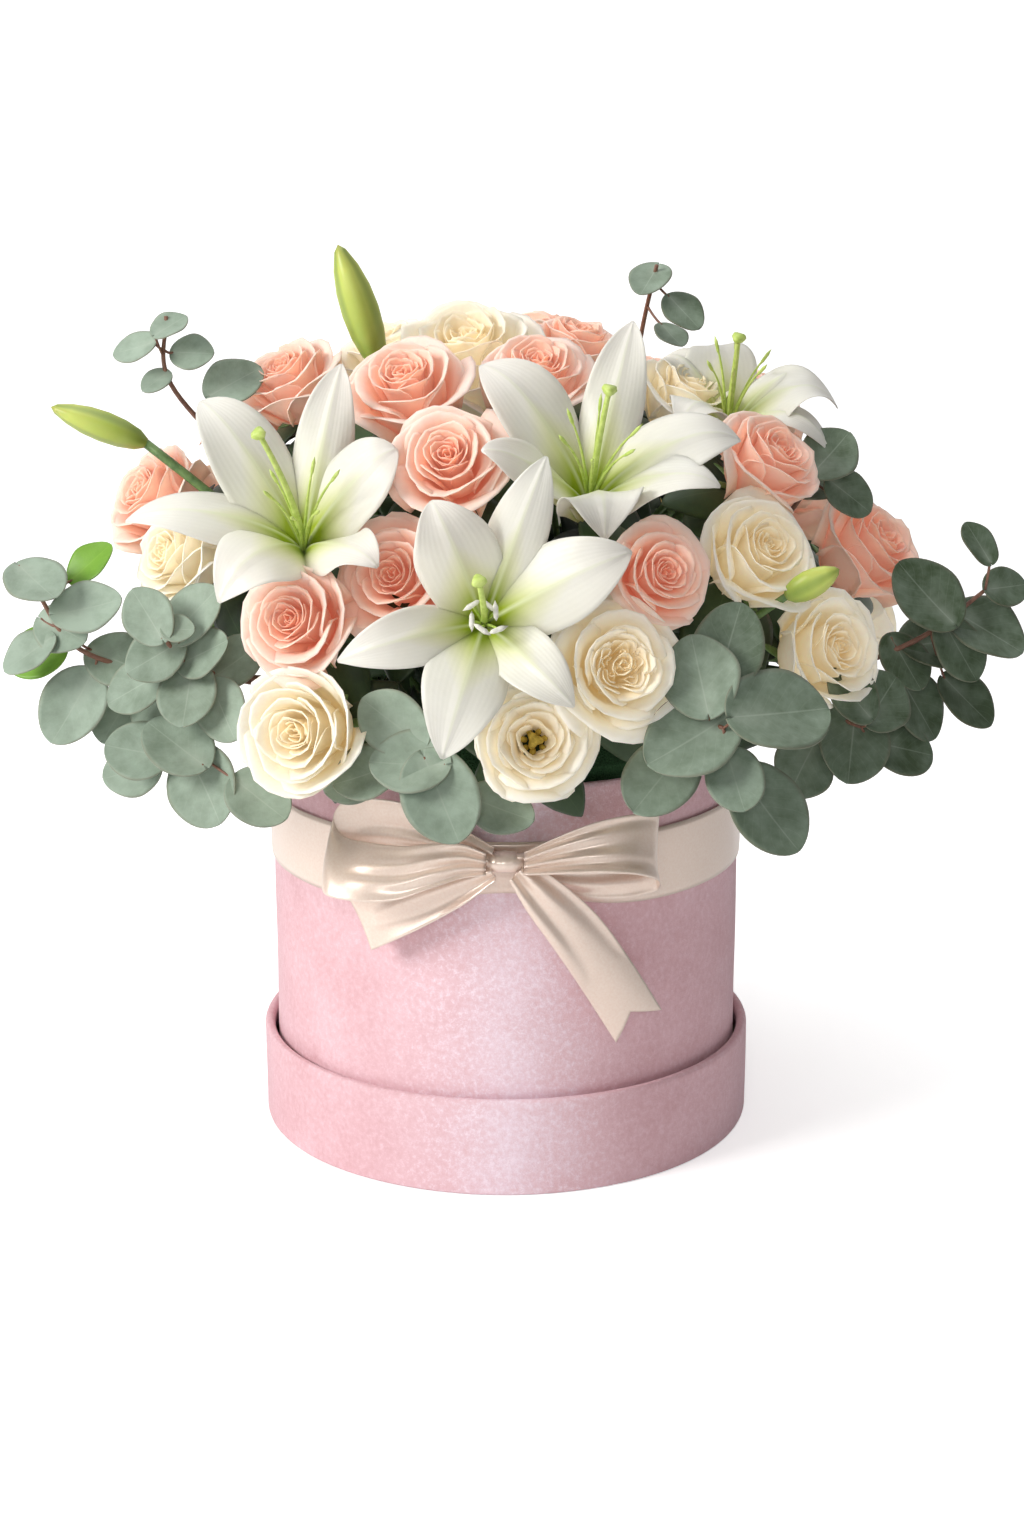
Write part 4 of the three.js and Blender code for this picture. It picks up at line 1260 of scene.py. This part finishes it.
def make_rose_stem(name, blooms, colour):
    """A cut stem with one bloom, or a spray with several, and some of its own leaves."""
    rng = seeded(name)
    piece = Piece(name + "_plant")
    looks = [LOOKS[look] for look in (colour, "stem", "gold", "rose_leaf", "bud")]
    main = None
    for kind, x, y, z, azimuth, elevation, size in blooms:
        place, facing, size = vec(x, y, z) * MM, direction(azimuth, elevation), size * MM
        add_bloom(piece, rng, kind, place, facing, size)
        start = place - facing * BLOOM_BACK[kind] * size
        if main is None:
            main = stem_points(start)
            add_stem(piece, main, ROSE_STEM, STEM)
        else:
            add_stem(piece, branch_to(main, start, facing, size), ROSE_STEM * 0.8, STEM)
    for i in range(4):
        root = bezier(main, 0.3 + 0.12 * i)
        away = unit((root - FOCUS) * vec(1, 1, 0.4))
        turn = 2.4 * i + WHOLE_TURN * rng.random()
        out = unit(vec(math.cos(turn), math.sin(turn), 0.2) + 0.8 * away)
        rose_leaf(piece, rng, root, out, away, (38 + 12 * rng.random()) * MM)
    piece.build("arrangement", looks, [name])


def make_lily(name, spec):
    rng = seeded(name)
    piece = Piece(name + "_plant")
    looks = [LOOKS[look] for look in ("lily", "lime", "anther", "stem", "bud")]
    throat, stigma = vec(*spec["throat"]) * MM, vec(*spec["stigma"]) * MM
    facing, size = direction(*spec["facing"]), spec["size"] * MM
    tips = [vec(*tip) * MM for tip in spec["tips"]]
    main = stem_points(lily(piece, rng, throat, facing, tips, size))
    lily_heart(piece, rng, throat, facing, stigma, size, spec.get("anthers", False))
    add_stem(piece, main, LILY_STEM, STALK)
    for x, y, z, azimuth, elevation, length in spec.get("buds", []):
        place, forward, length = vec(x, y, z) * MM, direction(azimuth, elevation), length * MM
        bud(piece, place, forward, length, 0.29 * length)
        start = place - forward * BLOOM_BACK["bud"] * length
        add_stem(piece, branch_to(main, start, forward, length), ROSE_STEM, STALK)
    piece.build("arrangement", looks, [name])


def leaf_facing(place):
    """A leaf faces up, out of the dome, and to the front or the back of the box, whichever it is on."""
    return unit(0.5 * unit(place - FOCUS) + direction(0 if place[1] < 0 else 180, 40))


def add_round_leaf(piece, rng, leaf, above, slot):
    """A leaf on a stalk of its own, from the nearest point of the part of the sprig above the foam."""
    x, y, z, size = leaf
    place = vec(x, y, z) * MM
    tilt = 0.55 * (rng.random(3) - 0.5)
    nearest = above[np.argmin(np.linalg.norm(above - place, axis=1))]
    if np.linalg.norm(nearest - place) < 4 * MM:  # a leaf on the sprig's tip has its stalk further down
        nearest = above[min(6, len(above) - 1)]
    front = max(0, -y - 130) * MM  # painted light: the leaves at the front are painted paler, as if they catch more of the light
    # painted light and shade: the tone is paler to the left, where the key light falls, darker to the right
    # and paler at the front; the rest is random
    tone = 0.52 - 1.7 * x * MM + 6 * front + 0.3 * (rng.random() - 0.5)
    stalk = round_leaf(piece, rng, place, leaf_facing(place) + tilt, nearest, size * MM, tone, slot)
    bend = (stalk + nearest) / 2 + vec(0, 0, -1.5) * MM
    piece.add_plain(rod(bezier([nearest, bend, stalk], np.linspace(0, 1, 7)), 0.6 * MM, 6), TWIG)


def make_sprig(name, sprig):
    rng = seeded(name)
    piece = Piece(name + "_plant")
    rows = [vec(*point) * MM for point in sprig["path"]]
    foot = foot_of(rows[0])
    rows += [vec(foot[0], foot[1], FOAM_TOP + 8 * MM), foot]
    path = smooth_path(rows, 48)
    piece.add_plain(rod(path, np.linspace(0.9 * MM, SPRIG_STEM * 1.2, len(path))), TWIG)
    above = path[path[:, 2] > FOAM_TOP]
    for leaf in sprig["leaves"]:
        add_round_leaf(piece, rng, leaf, above, SILVER)
    for leaf in sprig.get("fresh", []):
        add_round_leaf(piece, rng, leaf, above, FRESH)
    looks = [LOOKS[look] for look in ("eucalyptus", "twig", "fresh")]
    piece.build("arrangement", looks, [name])


def make_arrangement():
    for colour, stems in BLOOMS.items():
        for name, blooms in stems.items():
            make_rose_stem(colour + "_" + name, blooms, colour)
    for name, spec in LILIES.items():
        make_lily(name, spec)
    for place, sprig in SPRIGS.items():
        make_sprig("eucalyptus_" + place, sprig)


# ---------- stage, light and camera
CAMERA_PLACE = vec(3, -1200, 497) * MM
CAMERA_PITCH = 15.4  # degrees below the horizon
CAMERA_LENS = 61.7  # mm on a 36 mm frame


def make_stage():
    """A pale floor that sweeps up behind the box."""
    half, front, back, rise, bend = 4.0, -3.0, 2.2, 2.6, 1.2
    turns = np.linspace(0, math.pi / 2, 13)[1:]
    profile = [(front, 0.0), (back - bend, 0.0)]
    profile += [(back - bend + bend * math.sin(a), bend - bend * math.cos(a)) for a in turns]
    profile += [(back, rise + bend)]
    points = [(x, y, z) for x in (-half, half) for y, z in profile]
    count = len(profile)
    mesh = bpy.data.meshes.new("floor")
    mesh.from_pydata(points, [], [(i, i + count, i + count + 1, i + 1) for i in range(count - 1)])
    for polygon in mesh.polygons:
        polygon.use_smooth = True
    floor = bpy.data.objects.new("floor", mesh)
    look = Look("floor", Roughness=0.8, Specular_IOR_Level=0.2)
    look.shader.inputs["Base Color"].default_value = (0.93, 0.93, 0.93, 1)
    look.shader.inputs["Emission Color"].default_value = (1, 1, 1, 1)
    seen = look.node("ShaderNodeLightPath").outputs["Is Camera Ray"]
    look.link(look.remap(seen, 0.0, 1.0, 0.05, 0.5), "Emission Strength")
    mesh.materials.append(look.material)
    bpy.context.scene.collection.objects.link(floor)


def area_light(name, place, target, size, power, colour):
    data = bpy.data.lights.new(name, "AREA")
    data.shape = "DISK"
    data.size = size
    data.energy = power
    data.color = colour
    light = bpy.data.objects.new(name, data)
    bpy.context.scene.collection.objects.link(light)
    light.location = place
    light.rotation_euler = (Vector(target) - Vector(place)).to_track_quat("-Z", "Y").to_euler()


def make_light():
    area_light("key", (-1.8, -1.0, 1.25), (0, 0, 0.22), 1.1, 45.0, (1.0, 0.985, 0.965))
    area_light("front", (-0.2, -2.0, 0.9), (0, 0, 0.2), 0.5, 5.0, (1.0, 0.99, 0.98))
    area_light("top", (0.0, 0.2, 1.9), (0, 0, 0.2), 1.6, 12.0, (1.0, 1.0, 1.0))
    world = bpy.data.worlds.new("world")
    world.use_nodes = True
    background = world.node_tree.nodes["Background"]
    background.inputs["Color"].default_value = (0.98, 0.98, 1.0, 1)
    background.inputs["Strength"].default_value = 0.26
    bpy.context.scene.world = world
    bpy.context.scene.view_settings.view_transform = "Standard"


def make_camera():
    data = bpy.data.cameras.new("camera")
    data.lens = CAMERA_LENS
    data.sensor_width = 36
    camera = bpy.data.objects.new("camera", data)
    camera.location = CAMERA_PLACE
    camera.rotation_euler = (math.radians(90 - CAMERA_PITCH), 0, 0)
    bpy.context.scene.collection.objects.link(camera)
    bpy.context.scene.camera = camera


make_camera()
make_stage()
make_light()
make_box()
make_bow()
make_arrangement()
